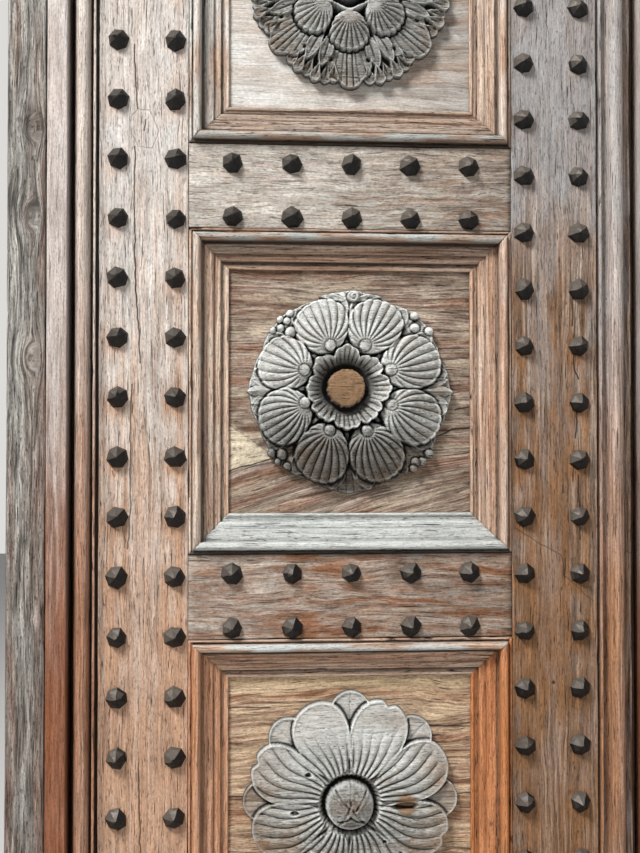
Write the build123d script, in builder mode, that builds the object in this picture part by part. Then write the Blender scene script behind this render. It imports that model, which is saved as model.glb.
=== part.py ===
from build123d import *
from math import cos, radians, sin
import os

# Carved temple door: a single panelled leaf in its own timber frame.
# X runs to the right seen from the front, the front faces -Y, Z is up.
# The origin is the middle of the threshold's underside. Millimetres.

# Leaf framing
panel_opening = 482.0
stile_width = 132.0
rail_width = 126.0
framing_thickness = 45.0
panel_count = 3
tenon_length = 60.0
tenon_thickness = 15.0
tenon_shoulder = 20.0

# Panel and its planted moulding
panel_recess = 22.0
lip_width = 4.0
lip_rise = 1.5
quirk_width = 2.0
quirk_depth = 0.5
ridge_width = 12.0
ridge_height = 12.0
ridge_shoulder = 6.0
cove_width = 6.0
cove_rise = 4.0
flat_width = 12.5
flat_depth = 8.0
bead_width = 10.5
bead_depth = 12.5
step_width = 7.5
step_height = 3.5
inner_fillet_width = 4.5
inner_fillet_height = 5.5
moulding_splay = 1.0
moulding_width = lip_width + quirk_width + ridge_width + cove_width + flat_width
moulding_width += bead_width + step_width + inner_fillet_width

# Border moulding round the framing
groove_width = 4.0
groove_depth = 7.0
fillet_width = 4.5
hinge_hollow = 4.0
lock_hollow = 11.0
hollow_depth = 11.0
roll_width = 23.0
roll_rise = 6.0
edge_strip_width = 14.0
edge_strip_setback = 13.0

# Backing boards
board_count = 5
board_thickness = 28.0
board_chamfer = 3.0
hinge_lap = 13.0
lap = 20.0

# Fixed frame
post_face = 58.0
post_depth = 150.0
post_chamfer = 5.0
stop_width = 30.0
leaf_setback = 18.0
hinge_gap = 7.5
lock_gap = 13.0
head_gap = 7.5
stop_clearance = 1.0

# Studs
stud_radius = 16.5
stud_height = 20.0
stud_skirt = 4.0
stud_batter = 1.5
stud_sides = 8
hinge_stud_pitch = 88.0
lock_stud_pitch = 85.5
hinge_stud_start = 17.0
lock_stud_start = 51.0
stud_edge = 28.0
inner_stud_edge = 20.0
rail_stud_count = 5
rail_stud_pitch = 88.5
rail_stud_rows = 80.0
rail_stud_drop = 6.0

# Strap hinges
eye_radius = 14.0
pin_radius = 8.0
pin_clearance = 0.1
strap_thickness = 6.0
strap_width = 50.0
strap_end_width = 32.0
strap_length = 640.0
strap_point = 40.0
eye_height = 50.0
eye_wall_clearance = 2.0
hinge_inset = 300.0
strap_nail_radius = 8.0
strap_nail_sides = 6
strap_nail_height = 3.0
strap_nail_count = 6
pintle_plate_thickness = 4.0
pintle_plate_depth = 40.0
pintle_plate_height = 96.0
pintle_plate_chamfer = 8.0
pintle_arm_height = 16.0
pintle_arm_reach = 10.0
pin_rise = 3.0

# Slide bolt
bolt_width = 18.0
bolt_thickness = 13.0
bolt_length = 300.0
bolt_play = 0.5
bolt_chamfer = 2.0
bolt_travel = 55.0
bolt_setback = 26.0
bolt_end_room = 8.0
staple_width = 20.0
staple_wall = 5.0
staple_foot = 14.0
staple_inset = 10.0
knob_radius = 8.0
knob_neck_radius = 5.0
knob_reach = 17.0
knob_sides = 8
knob_chamfer = 2.0
keeper_thickness = 4.0
keeper_height = 70.0
keeper_depth = 44.0
mortise_play = 2.0

# Rosettes
rosette_radius = 155.0
rosette_relief = 43.0
rosette_ground = 10.0
petal_count = 8
acanthus_count = 7
flute_depth = 6.0
shallow_flute = 3.0
berry_radius = 6.5
berry_height = 16.0
collar_berry_reach = 69.0
collar_berry_height = 37.0
boss_sides = 12
bud_leaf_count = 6

# Levels through the depth, from the front of the frame to its back
frame_front = -post_depth / 2
frame_back = post_depth / 2
leaf_face = frame_front + leaf_setback
panel_face = leaf_face + panel_recess
board_front = leaf_face + framing_thickness
board_back = board_front + board_thickness
stop_back = board_front - stop_clearance
axis_y = board_back + eye_radius

# Widths, from the hinge side to the lock side
hinge_border = groove_width + fillet_width + hinge_hollow + roll_width
lock_border = groove_width + fillet_width + lock_hollow + roll_width
framing_width = 2 * stile_width + panel_opening
leaf_width = hinge_border + framing_width + lock_border + edge_strip_width
frame_width = 2 * (post_face + stop_width) + hinge_gap + leaf_width + lock_gap
hinge_post_outer = -frame_width / 2
hinge_post_inner = hinge_post_outer + post_face
hinge_stop_edge = hinge_post_inner + stop_width
leaf_hinge_edge = hinge_stop_edge + hinge_gap
stile_hinge_edge = leaf_hinge_edge + hinge_border
opening_left = stile_hinge_edge + stile_width
opening_right = opening_left + panel_opening
stile_lock_edge = opening_right + stile_width
roll_lock_edge = stile_lock_edge + lock_border
leaf_lock_edge = roll_lock_edge + edge_strip_width
lock_stop_edge = leaf_lock_edge + lock_gap
lock_post_inner = lock_stop_edge + stop_width
lock_post_outer = lock_post_inner + post_face
panel_axis = (opening_left + opening_right) / 2
axis_x = hinge_post_inner + pintle_plate_thickness + eye_wall_clearance + eye_radius
board_hinge_edge = hinge_stop_edge - hinge_lap
board_lock_edge = lock_stop_edge + lap

# Heights
framing_height = panel_count * panel_opening + (panel_count + 1) * rail_width
leaf_height = framing_height + 2 * hinge_border
threshold_top = post_face
leaf_bottom = threshold_top + stop_width + head_gap
framing_bottom = leaf_bottom + hinge_border
framing_top = framing_bottom + framing_height
leaf_top = leaf_bottom + leaf_height
head_bottom = leaf_top + head_gap + stop_width
frame_top = head_bottom + post_face
module = panel_opening + rail_width
rail_bottoms = [framing_bottom + module * index for index in range(panel_count + 1)]
panel_centres = [bottom + rail_width + panel_opening / 2 for bottom in rail_bottoms[:-1]]
hinge_heights = [leaf_bottom + hinge_inset, (leaf_bottom + leaf_top) / 2, leaf_top - hinge_inset]
bolt_z = rail_bottoms[1] + rail_width / 2

rail_names = ["bottom_rail", "lower_rail", "upper_rail", "top_rail"]
panel_names = ["lower", "middle", "upper"]
hinge_names = ["bottom", "middle", "top"]

os.makedirs("parts", exist_ok=True)


def keep(part, name):
    part.label = name
    export_step(part, f"parts/{name}.step")


def plank(x_span, y_span, z_span):
    # A squared timber between two corners
    with BuildPart() as timber:
        with BuildSketch(Plane.XY.offset(z_span[0])):
            with Locations(((x_span[0] + x_span[1]) / 2, (y_span[0] + y_span[1]) / 2)):
                Rectangle(x_span[1] - x_span[0], y_span[1] - y_span[0])
        extrude(amount=z_span[1] - z_span[0])
    return timber.part


# Threshold and head run the whole width, the posts stand between them
frame_depth_span = (frame_front, frame_back)
with BuildPart() as threshold:
    add(plank((hinge_post_outer, lock_post_outer), frame_depth_span, (0, threshold_top)))
    chamfer(threshold.edges().filter_by(Axis.X).group_by(Axis.Z)[-1], post_chamfer)
keep(threshold.part, "threshold")

with BuildPart() as head_beam:
    add(plank((hinge_post_outer, lock_post_outer), frame_depth_span, (head_bottom, frame_top)))
    chamfer(head_beam.edges().filter_by(Axis.X).group_by(Axis.Z)[0], post_chamfer)
keep(head_beam.part, "head_beam")

with BuildPart() as hinge_post:
    add(plank((hinge_post_outer, hinge_post_inner), frame_depth_span, (threshold_top, head_bottom)))
    chamfer(hinge_post.edges().filter_by(Axis.Z).group_by(Axis.Y)[0].sort_by(Axis.X)[0], post_chamfer)
keep(hinge_post.part, "hinge_post")

# The lock post has the mortise that the bolt shoots into
bolt_y = board_back + bolt_play + bolt_thickness / 2
bolt_tip = board_lock_edge - bolt_setback
mortise_end = bolt_tip + bolt_travel + bolt_end_room
mortise_size = (bolt_thickness + 2 * mortise_play, bolt_width + 2 * mortise_play)
with BuildPart() as lock_post:
    add(plank((lock_post_inner, lock_post_outer), frame_depth_span, (threshold_top, head_bottom)))
    chamfer(lock_post.edges().filter_by(Axis.Z).group_by(Axis.Y)[0].sort_by(Axis.X)[-1], post_chamfer)
    with BuildSketch(Plane.YZ.offset(lock_post_inner)):
        with Locations((bolt_y, bolt_z)):
            Rectangle(*mortise_size)
    extrude(amount=mortise_end - lock_post_inner, mode=Mode.SUBTRACT)
keep(lock_post.part, "lock_post")

# Stop strips: smooth boards fixed inside the frame, which the backing boards close against
stop_depth_span = (frame_front, stop_back)
for name, x_span, z_span in [
    ("hinge_stop", (hinge_post_inner, hinge_stop_edge), (threshold_top, head_bottom)),
    ("lock_stop", (lock_stop_edge, lock_post_inner), (threshold_top, head_bottom)),
    ("head_stop", (hinge_stop_edge, lock_stop_edge), (head_bottom - stop_width, head_bottom)),
    ("threshold_stop", (hinge_stop_edge, lock_stop_edge), (threshold_top, threshold_top + stop_width)),
]:
    keep(plank(x_span, stop_depth_span, z_span), name)

# Stiles with the mortises that take the rail tenons
tenon_y = leaf_face + framing_thickness / 2
tenon_height = rail_width - 2 * tenon_shoulder
framing_depth_span = (leaf_face, board_front)
for name, x_span, mortise_side in [
    ("hinge_stile", (stile_hinge_edge, opening_left), opening_left - tenon_length),
    ("lock_stile", (opening_right, stile_lock_edge), opening_right),
]:
    with BuildPart() as stile:
        add(plank(x_span, framing_depth_span, (framing_bottom, framing_top)))
        for bottom in rail_bottoms:
            with BuildSketch(Plane.YZ.offset(mortise_side)):
                with Locations((tenon_y, bottom + rail_width / 2)):
                    Rectangle(tenon_thickness, tenon_height)
            extrude(amount=tenon_length, mode=Mode.SUBTRACT)
    keep(stile.part, name)

# Rails between the stiles
for name, bottom in zip(rail_names, rail_bottoms):
    with BuildPart() as rail:
        add(plank((opening_left, opening_right), framing_depth_span, (bottom, bottom + rail_width)))
        with BuildSketch(Plane.YZ.offset(opening_left - tenon_length)):
            with Locations((tenon_y, bottom + rail_width / 2)):
                Rectangle(tenon_thickness, tenon_height)
        extrude(amount=panel_opening + 2 * tenon_length)
    keep(rail.part, name)

# Panels fill the openings and lie on the backing boards
for name, centre in zip(panel_names, panel_centres):
    half = panel_opening / 2
    keep(
        plank((opening_left, opening_right), (panel_face, board_front), (centre - half, centre + half)),
        f"{name}_panel",
    )


def moulding_profile():
    # Section of the planted moulding: x runs in from the opening's edge, y out from the panel.
    # Lip beside the framing, round ridge, deep cove, broad flat, then two small steps.
    lip_top = panel_recess + lip_rise
    quirk_floor = panel_recess - quirk_depth
    ridge_start = lip_width + quirk_width
    ridge_end = ridge_start + ridge_width
    ridge_top = panel_recess + ridge_height
    ridge_foot = panel_recess + ridge_shoulder
    cove_end = ridge_end + cove_width
    flat_top = panel_recess - flat_depth
    flat_end = cove_end + flat_width
    bead_top = panel_recess - bead_depth
    bead_end = flat_end + bead_width
    step_end = bead_end + step_width
    with BuildLine() as outline:
        Polyline(
            (cove_end, flat_top),
            (flat_end, flat_top),
            (flat_end + moulding_splay, bead_top),
            (bead_end, bead_top),
            (bead_end + moulding_splay, step_height),
            (step_end, step_height),
            (step_end, inner_fillet_height),
            (moulding_width, inner_fillet_height),
            (moulding_width, 0),
            (0, 0),
            (0, lip_top),
            (lip_width, lip_top),
            (lip_width, quirk_floor),
            (ridge_start, quirk_floor),
            (ridge_start, ridge_foot),
        )
        ThreePointArc(
            (ridge_start, ridge_foot),
            ((ridge_start + ridge_end) / 2, ridge_top),
            (ridge_end, ridge_foot),
        )
        Polyline(
            (ridge_end, ridge_foot),
            (ridge_end + moulding_splay, flat_top + cove_rise),
            (cove_end, flat_top),
        )
    return outline.line


def moulding_length():
    # One mitred length lying along X, its outer edge on the X axis, its back on the XY plane
    half = panel_opening / 2
    with BuildPart() as length:
        with BuildSketch(Plane(origin=(-half, 0, 0), x_dir=(0, 1, 0), z_dir=(1, 0, 0))):
            add(moulding_profile())
            make_face()
        extrude(amount=panel_opening)
        with BuildSketch():
            with BuildLine():
                Polyline(
                    (-half, 0),
                    (half, 0),
                    (half - moulding_width, moulding_width),
                    (-half + moulding_width, moulding_width),
                    close=True,
                )
            make_face()
        extrude(amount=panel_recess + 2 * ridge_height, mode=Mode.INTERSECT)
    return length.part


panel_moulding = moulding_length()
moulding_turns = {"bottom": 0, "lock": 90, "top": 180, "hinge": 270}
for name, centre in zip(panel_names, panel_centres):
    panel_plane = Plane(origin=(panel_axis, panel_face, centre), x_dir=(1, 0, 0), z_dir=(0, -1, 0))
    for side, turn in moulding_turns.items():
        with BuildPart() as moulding:
            with Locations(panel_plane.location * Rotation(0, 0, turn) * Pos(0, -panel_opening / 2, 0)):
                add(panel_moulding)
        keep(moulding.part, f"{name}_moulding_{side}")


def border_face(hollow):
    # Section of the border moulding: x runs out from the stile, y out from the backing boards
    fillet_start = groove_width
    fillet_end = groove_width + fillet_width
    roll_start = fillet_end + hollow
    roll_end = roll_start + roll_width
    roll_spring = framing_thickness - roll_width / 2 + roll_rise
    with BuildLine() as outline:
        Polyline(
            (roll_start, roll_spring),
            (roll_start, framing_thickness - hollow_depth),
            (fillet_end, framing_thickness - hollow_depth),
            (fillet_end, framing_thickness),
            (fillet_start, framing_thickness),
            (fillet_start, framing_thickness - groove_depth),
            (0, framing_thickness - groove_depth),
            (0, 0),
            (roll_end, 0),
            (roll_end, roll_spring),
        )
        ThreePointArc(
            (roll_end, roll_spring),
            ((roll_start + roll_end) / 2, framing_thickness + roll_rise),
            (roll_start, roll_spring),
        )
    return outline.line


# The upright borders run the whole height, the level ones fit between them
right, left, up, down = (1, 0, 0), (-1, 0, 0), (0, 0, 1), (0, 0, -1)
border_runs = [
    ("hinge_border", (stile_hinge_edge, leaf_bottom), left, up, leaf_height, hinge_hollow),
    ("lock_border", (stile_lock_edge, leaf_bottom), right, up, leaf_height, lock_hollow),
    ("bottom_border", (stile_hinge_edge, framing_bottom), down, right, framing_width, hinge_hollow),
    ("top_border", (stile_hinge_edge, framing_top), up, right, framing_width, hinge_hollow),
]
for name, corner, outward, along, length, hollow in border_runs:
    section_plane = Plane(
        origin=(corner[0], board_front, corner[1]),
        x_dir=outward,
        z_dir=Vector(outward).cross(Vector(0, -1, 0)),
    )
    direction = Vector(along).dot(section_plane.z_dir)
    with BuildPart() as border:
        with BuildSketch(section_plane):
            add(border_face(hollow))
            make_face()
        extrude(amount=direction * length)
    keep(border.part, name)

# Set-back strip that closes the lock edge
keep(
    plank(
        (roll_lock_edge, leaf_lock_edge),
        (leaf_face + edge_strip_setback, board_front),
        (leaf_bottom, leaf_top),
    ),
    "lock_edge_strip",
)

# Backing boards, edge to edge, with bevelled joints on the inner face
board_width = (board_lock_edge - board_hinge_edge) / board_count
for index in range(board_count):
    board_left = board_hinge_edge + index * board_width
    with BuildPart() as board:
        add(
            plank(
                (board_left, board_left + board_width),
                (board_front, board_back),
                (leaf_bottom - head_gap - lap, leaf_top + head_gap + lap),
            )
        )
        chamfer(board.edges().filter_by(Axis.Z).group_by(Axis.Y)[-1], board_chamfer)
    keep(board.part, f"back_board_{index + 1}")


def forged_stud():
    # Eight-sided pyramid head on a short skirt, its base on the XY plane
    skirt_top = stud_radius - stud_batter
    with BuildPart() as stud:
        with BuildSketch() as base:
            RegularPolygon(stud_radius, stud_sides)
        with BuildSketch(Plane.XY.offset(stud_skirt)) as shoulder:
            RegularPolygon(skirt_top, stud_sides)
        loft(sections=[base.sketch, shoulder.sketch], ruled=True)
        loft(sections=[shoulder.sketch, Vertex(0, 0, stud_height)], ruled=True)
    return stud.part


stud_head = forged_stud()
leaf_plane = Plane(origin=(0, leaf_face, 0), x_dir=(1, 0, 0), z_dir=(0, -1, 0))


def stud_column(x, start, pitch):
    # Heights of the studs that fit one column of a stile
    room = framing_height - start - stud_radius
    count = int(room / pitch) + 1
    return [(x, framing_top - start - pitch * row) for row in range(count)]


def studs_at(points):
    with BuildPart() as group:
        with Locations(*[leaf_plane.location * Pos(x, z, 0) for x, z in points]):
            add(stud_head)
    return group.part


hinge_columns = [stile_hinge_edge + stud_edge, opening_left - inner_stud_edge]
lock_columns = [opening_right + inner_stud_edge, stile_lock_edge - stud_edge]
hinge_points = []
for x in hinge_columns:
    hinge_points += stud_column(x, hinge_stud_start, hinge_stud_pitch)
lock_points = []
for x in lock_columns:
    lock_points += stud_column(x, lock_stud_start, lock_stud_pitch)
rail_stud_reach = (rail_stud_count - 1) / 2 * rail_stud_pitch
first_rail_stud = panel_axis - rail_stud_reach
rail_stud_middle = rail_width / 2 - rail_stud_drop
rail_points = [
    (first_rail_stud + rail_stud_pitch * column, bottom + rail_stud_middle + row)
    for bottom in rail_bottoms
    for row in (-rail_stud_rows / 2, rail_stud_rows / 2)
    for column in range(rail_stud_count)
]
keep(studs_at(hinge_points), "hinge_stile_studs")
keep(studs_at(lock_points), "lock_stile_studs")
keep(studs_at(rail_points), "rail_studs")


def strap_hinge(height):
    # Forged strap along the boards' inner face, rolled round the pin at its end
    strap_root = Plane(origin=(axis_x, board_back, height), x_dir=(1, 0, 0), z_dir=(0, 1, 0))
    half = strap_width / 2
    end_half = strap_end_width / 2
    with BuildPart() as strap:
        with BuildSketch(strap_root):
            with BuildLine():
                Polyline(
                    (0, -half),
                    (strap_length - strap_point, -end_half),
                    (strap_length, 0),
                    (strap_length - strap_point, end_half),
                    (0, half),
                    close=True,
                )
            make_face()
        extrude(amount=strap_thickness)
        with BuildSketch(Plane(origin=(axis_x, axis_y, height - half), z_dir=(0, 0, 1))):
            Circle(eye_radius)
        extrude(amount=eye_height)
        with BuildSketch(Plane(origin=(axis_x, axis_y, height - half), z_dir=(0, 0, 1))):
            Circle(pin_radius + pin_clearance)
        extrude(amount=eye_height, mode=Mode.SUBTRACT)
    return strap.part


def pintle(height):
    # Plate on the post, arm under the strap's eye, and the upright pin, forged in one
    eye_bottom = height - strap_width / 2
    plate_end = hinge_post_inner + pintle_plate_thickness
    with BuildPart() as iron:
        with BuildSketch(Plane.YZ.offset(hinge_post_inner)):
            with Locations((axis_y, height)):
                Rectangle(pintle_plate_depth, pintle_plate_height)
        extrude(amount=pintle_plate_thickness)
        chamfer(iron.edges().filter_by(Axis.X), pintle_plate_chamfer)
        with BuildSketch(Plane.XY.offset(eye_bottom - pintle_arm_height)):
            with Locations(((plate_end + axis_x) / 2, axis_y)):
                Rectangle(axis_x - plate_end, 2 * pintle_arm_reach)
            with Locations((axis_x, axis_y)):
                Circle(pintle_arm_reach)
        extrude(amount=pintle_arm_height)
        with BuildSketch(Plane.XY.offset(eye_bottom)):
            with Locations((axis_x, axis_y)):
                Circle(pin_radius)
        extrude(amount=eye_height + pin_rise)
        chamfer(iron.edges().filter_by(GeomType.CIRCLE).sort_by(Axis.Z)[-1], pin_rise / 2)
    return iron.part


for name, height in zip(hinge_names, hinge_heights):
    keep(strap_hinge(height), f"{name}_strap")
    keep(pintle(height), f"{name}_pintle")

# Domed nail heads on the straps
strap_face = board_back + strap_thickness
nail_room = strap_length - strap_point - 2 * eye_radius
nail_pitch = nail_room / (strap_nail_count - 1)
with BuildPart() as nail:
    with BuildSketch():
        RegularPolygon(strap_nail_radius, strap_nail_sides)
    extrude(amount=strap_nail_height, taper=45)
nail_places = [
    Plane(
        origin=(axis_x + 2 * eye_radius + nail_pitch * index, strap_face, height),
        z_dir=(0, 1, 0),
    ).location
    for height in hinge_heights
    for index in range(strap_nail_count)
]
with BuildPart() as strap_nails:
    with Locations(*nail_places):
        add(nail.part)
keep(strap_nails.part, "strap_nails")

# Slide bolt: a square bar drawn back at rest, in two staples on the boards
bar_half = bolt_width / 2
bolt_root = bolt_tip - bolt_length
bolt_depth_span = (bolt_y - bolt_thickness / 2, bolt_y + bolt_thickness / 2)
with BuildPart() as slide_bolt:
    add(plank((bolt_root, bolt_tip), bolt_depth_span, (bolt_z - bar_half, bolt_z + bar_half)))
    chamfer(slide_bolt.faces().sort_by(Axis.X)[-1].edges(), bolt_chamfer)
keep(slide_bolt.part, "slide_bolt")

staple_spots = [bolt_root + staple_inset + staple_width / 2, bolt_tip - staple_inset - staple_width / 2]
knob_x = staple_spots[0] + staple_width / 2 + knob_radius + staple_inset
with BuildPart() as bolt_knob:
    with BuildSketch(Plane(origin=(knob_x, bolt_depth_span[1], bolt_z), z_dir=(0, 1, 0))):
        RegularPolygon(knob_neck_radius, knob_sides)
    extrude(amount=knob_reach / 2)
    with BuildSketch(Plane(origin=(knob_x, bolt_depth_span[1] + knob_reach / 2, bolt_z), z_dir=(0, 1, 0))):
        RegularPolygon(knob_radius, knob_sides)
    extrude(amount=knob_reach / 2)
    chamfer(bolt_knob.edges().group_by(Axis.Y)[-1], knob_chamfer)
keep(bolt_knob.part, "bolt_knob")

# Each staple is a strap bent over the bar with a foot above and below it
staple_inner = bar_half + bolt_play
staple_height = bolt_depth_span[1] + bolt_play - board_back
with BuildPart() as bolt_staples:
    for x in staple_spots:
        with BuildSketch(Plane.YZ.offset(x - staple_width / 2)):
            with Locations((board_back + (staple_height + staple_wall) / 2, bolt_z)):
                Rectangle(staple_height + staple_wall, 2 * (staple_inner + staple_wall))
            with Locations((board_back + staple_wall / 2, bolt_z)):
                Rectangle(staple_wall, 2 * (staple_inner + staple_wall + staple_foot))
            with Locations((board_back + staple_height / 2, bolt_z)):
                Rectangle(staple_height, 2 * staple_inner, mode=Mode.SUBTRACT)
        extrude(amount=staple_width)
keep(bolt_staples.part, "bolt_staples")

with BuildPart() as bolt_keeper:
    with BuildSketch(Plane.YZ.offset(lock_post_inner - keeper_thickness)):
        with Locations((bolt_y, bolt_z)):
            Rectangle(keeper_depth, keeper_height)
            Rectangle(*mortise_size, mode=Mode.SUBTRACT)
    extrude(amount=keeper_thickness)
keep(bolt_keeper.part, "bolt_keeper")


def petal(stations, crests, flute):
    # A carved petal lying along X, its top ridged by flutes. Each station gives its distance
    # from the flower's centre and its width, as shares of the radius, then its height along
    # the middle and at the edges, as shares of the relief.
    steps = 2 * crests
    with BuildPart() as blade:
        for distance, width, crest, edge in stations:
            half_width = width * rosette_radius / 2
            middle = crest * rosette_relief
            side = edge * rosette_relief
            top = []
            for step in range(1, steps):
                across = 2 * step / steps - 1
                height = side + (middle - side) * (1 - across**2)
                if step % 2 == 0:
                    height = max(height - flute, height / 2)
                top.append((across * half_width, height))
            left_side = [(-half_width, 0), (-half_width, side / 2)]
            right_side = [(half_width, side / 2), (half_width, 0)]
            outline = [*left_side, *top, *right_side]
            with BuildSketch(Plane.YZ.offset(distance * rosette_radius)):
                with BuildLine():
                    Polyline(*outline, close=True)
                make_face()
        loft(ruled=True)
    return blade.part


def berry(height):
    # A small rounded fruit that stands on the ground of the carving
    with BuildPart() as fruit:
        with BuildSketch():
            RegularPolygon(berry_radius, 6)
        with BuildSketch(Plane.XY.offset(height)):
            RegularPolygon(berry_radius / 2, 6)
        loft(ruled=True)
    return fruit.part


def boss(bottom_share, top_share, bottom, top):
    # A round of the carving that widens or narrows from one level to the next
    with BuildPart() as frustum:
        with BuildSketch(Plane.XY.offset(bottom)):
            RegularPolygon(bottom_share * rosette_radius, boss_sides)
        with BuildSketch(Plane.XY.offset(top)):
            RegularPolygon(top_share * rosette_radius, boss_sides)
        loft(ruled=True)
    return frustum.part


petal_angle = 360 / petal_count
downward = -90
above_relief = 1.2 * rosette_relief


def ring_of(piece, turn=0.0, count=petal_count):
    with PolarLocations(0, count, start_angle=turn):
        add(piece)


def shell_rosette():
    # Eight scallop shells with buds and berries between them, round a broken-off boss
    shell = petal(
        [
            (0.40, 0.22, 0.72, 0.63),
            (0.60, 0.42, 0.86, 0.60),
            (0.82, 0.49, 0.65, 0.33),
            (0.96, 0.26, 0.30, 0.19),
        ],
        5,
        flute_depth,
    )
    bud = petal([(0.78, 0.10, 0.42, 0.28), (0.90, 0.14, 0.44, 0.19), (1.0, 0.03, 0.16, 0.10)], 1, 0)
    sprig = petal([(0.76, 0.22, 0.33, 0.21), (0.90, 0.26, 0.28, 0.16), (0.99, 0.16, 0.19, 0.12)], 1, 0)
    leaf = petal(
        [(0.22, 0.16, 0.56, 0.47), (0.37, 0.25, 0.90, 0.74), (0.47, 0.14, 0.97, 0.88)],
        2,
        shallow_flute,
    )
    berry_spots = [
        (quarter + side, 0.92 * rosette_radius) for quarter in range(45, 360, 90) for side in (-7, 0, 7)
    ]
    with BuildPart() as flower:
        add(boss(0.80, 0.50, 0, 2 * rosette_ground))
        ring_of(shell, petal_angle / 2)
        ring_of(bud, 0, 4)
        ring_of(sprig, 45, 4)
        ring_of(leaf)
        for angle, reach in berry_spots:
            with PolarLocations(reach, 1, start_angle=angle):
                add(berry(berry_height))
        with PolarLocations(collar_berry_reach, petal_count, start_angle=petal_angle / 2):
            add(berry(collar_berry_height))
        add(boss(0.20, 0.25, rosette_ground, above_relief), mode=Mode.SUBTRACT)
        add(boss(0.195, 0.19, rosette_ground, 0.77 * rosette_relief))
    return flower.part


def acanthus_rosette():
    # Seven ribbed acanthus leaves outside seven fluted fans, round a low dark boss, with one pointing down
    acanthus = petal(
        [
            (0.45, 0.30, 0.63, 0.42),
            (0.72, 0.46, 0.70, 0.35),
            (0.90, 0.38, 0.52, 0.23),
            (0.99, 0.11, 0.33, 0.19),
        ],
        3,
        flute_depth,
    )
    tip = petal(
        [(0.62, 0.15, 0.40, 0.23), (0.88, 0.22, 0.42, 0.21), (0.99, 0.06, 0.23, 0.14)],
        2,
        shallow_flute,
    )
    fan = petal(
        [(0.20, 0.14, 0.56, 0.47), (0.47, 0.36, 1.0, 0.65), (0.61, 0.22, 0.85, 0.70)],
        3,
        flute_depth,
    )
    with BuildPart() as flower:
        add(boss(0.80, 0.62, 0, rosette_ground))
        ring_of(acanthus, downward, acanthus_count)
        ring_of(tip, downward + 180 / acanthus_count, acanthus_count)
        ring_of(fan, downward, acanthus_count)
        add(boss(0.17, 0.25, rosette_ground, above_relief), mode=Mode.SUBTRACT)
        add(boss(0.165, 0.11, rosette_ground, 0.70 * rosette_relief))
    return flower.part


def daisy_rosette():
    # Eight broad double-lobed petals over eight back petals, round a closed bud
    front = petal(
        [
            (0.24, 0.15, 0.51, 0.44),
            (0.45, 0.30, 0.77, 0.56),
            (0.82, 0.54, 0.68, 0.37),
            (1.01, 0.34, 0.33, 0.19),
        ],
        4,
        flute_depth,
    )
    back = petal(
        [
            (0.60, 0.13, 0.35, 0.23),
            (0.88, 0.25, 0.37, 0.21),
            (1.01, 0.19, 0.28, 0.16),
            (1.06, 0.08, 0.19, 0.12),
        ],
        2,
        shallow_flute,
    )
    bud_leaf = petal(
        [
            (0.0, 0.06, 0.98, 0.88),
            (0.10, 0.13, 0.93, 0.70),
            (0.19, 0.15, 0.72, 0.47),
            (0.225, 0.12, 0.47, 0.28),
        ],
        1,
        0,
    )
    with BuildPart() as flower:
        add(boss(0.80, 0.62, 0, rosette_ground))
        ring_of(front, petal_angle / 2)
        ring_of(back)
        add(boss(0.23, 0.28, rosette_ground, above_relief), mode=Mode.SUBTRACT)
        ring_of(bud_leaf, count=bud_leaf_count)
    return flower.part


carvings = [daisy_rosette, shell_rosette, acanthus_rosette]
for name, centre, carve in zip(panel_names, panel_centres, carvings):
    rosette_plane = Plane(origin=(panel_axis, panel_face, centre), x_dir=(1, 0, 0), z_dir=(0, -1, 0))
    carving = carve()
    with BuildPart() as rosette:
        with Locations(rosette_plane.location):
            add(carving)
    keep(rosette.part, f"{name}_rosette")
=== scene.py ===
import bpy
import math
import numpy as np
from functools import partial
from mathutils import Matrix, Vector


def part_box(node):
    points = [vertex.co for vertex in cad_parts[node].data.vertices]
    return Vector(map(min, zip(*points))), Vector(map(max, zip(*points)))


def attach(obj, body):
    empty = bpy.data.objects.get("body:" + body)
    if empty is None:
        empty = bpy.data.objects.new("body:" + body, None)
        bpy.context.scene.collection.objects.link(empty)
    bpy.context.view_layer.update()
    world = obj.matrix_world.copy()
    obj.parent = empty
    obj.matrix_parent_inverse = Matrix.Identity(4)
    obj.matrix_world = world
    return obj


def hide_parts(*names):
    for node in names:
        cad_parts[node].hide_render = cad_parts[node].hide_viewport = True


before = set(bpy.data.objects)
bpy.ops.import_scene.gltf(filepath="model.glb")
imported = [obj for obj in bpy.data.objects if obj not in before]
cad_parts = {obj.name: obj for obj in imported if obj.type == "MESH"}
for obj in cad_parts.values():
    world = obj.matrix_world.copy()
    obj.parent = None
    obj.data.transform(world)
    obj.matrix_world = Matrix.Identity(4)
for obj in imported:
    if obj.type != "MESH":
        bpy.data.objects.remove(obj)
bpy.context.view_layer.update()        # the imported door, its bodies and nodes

from types import SimpleNamespace
from mathutils import Vector

mm = 0.001

# Shared helpers


def linear(hexText):
    # sRGB hex to the linear colour that Blender's sockets take
    channels = [int(hexText[i:i + 2], 16) / 255 for i in (1, 3, 5)]
    return tuple(c / 12.92 if c <= 0.04045 else ((c + 0.055) / 1.055) ** 2.4 for c in channels) + (1.0,)


def addNode(tree, kind, links=None, **settings):
    # a link is a value, a socket, or a node, which gives its first live output
    node = tree.nodes.new(kind)
    for name, value in settings.items():
        setattr(node, name, value)
    for socket, value in (links or {}).items():
        if isinstance(value, bpy.types.Node):
            value = next(output for output in value.outputs if output.enabled)
        if isinstance(value, bpy.types.NodeSocket):
            tree.links.new(value, node.inputs[socket])
        else:
            node.inputs[socket].default_value = value
    return node


def emptyMaterial(name):
    material = bpy.data.materials.new(name)
    material.use_nodes = True
    material.node_tree.nodes.clear()
    return material, partial(addNode, material.node_tree)


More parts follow.
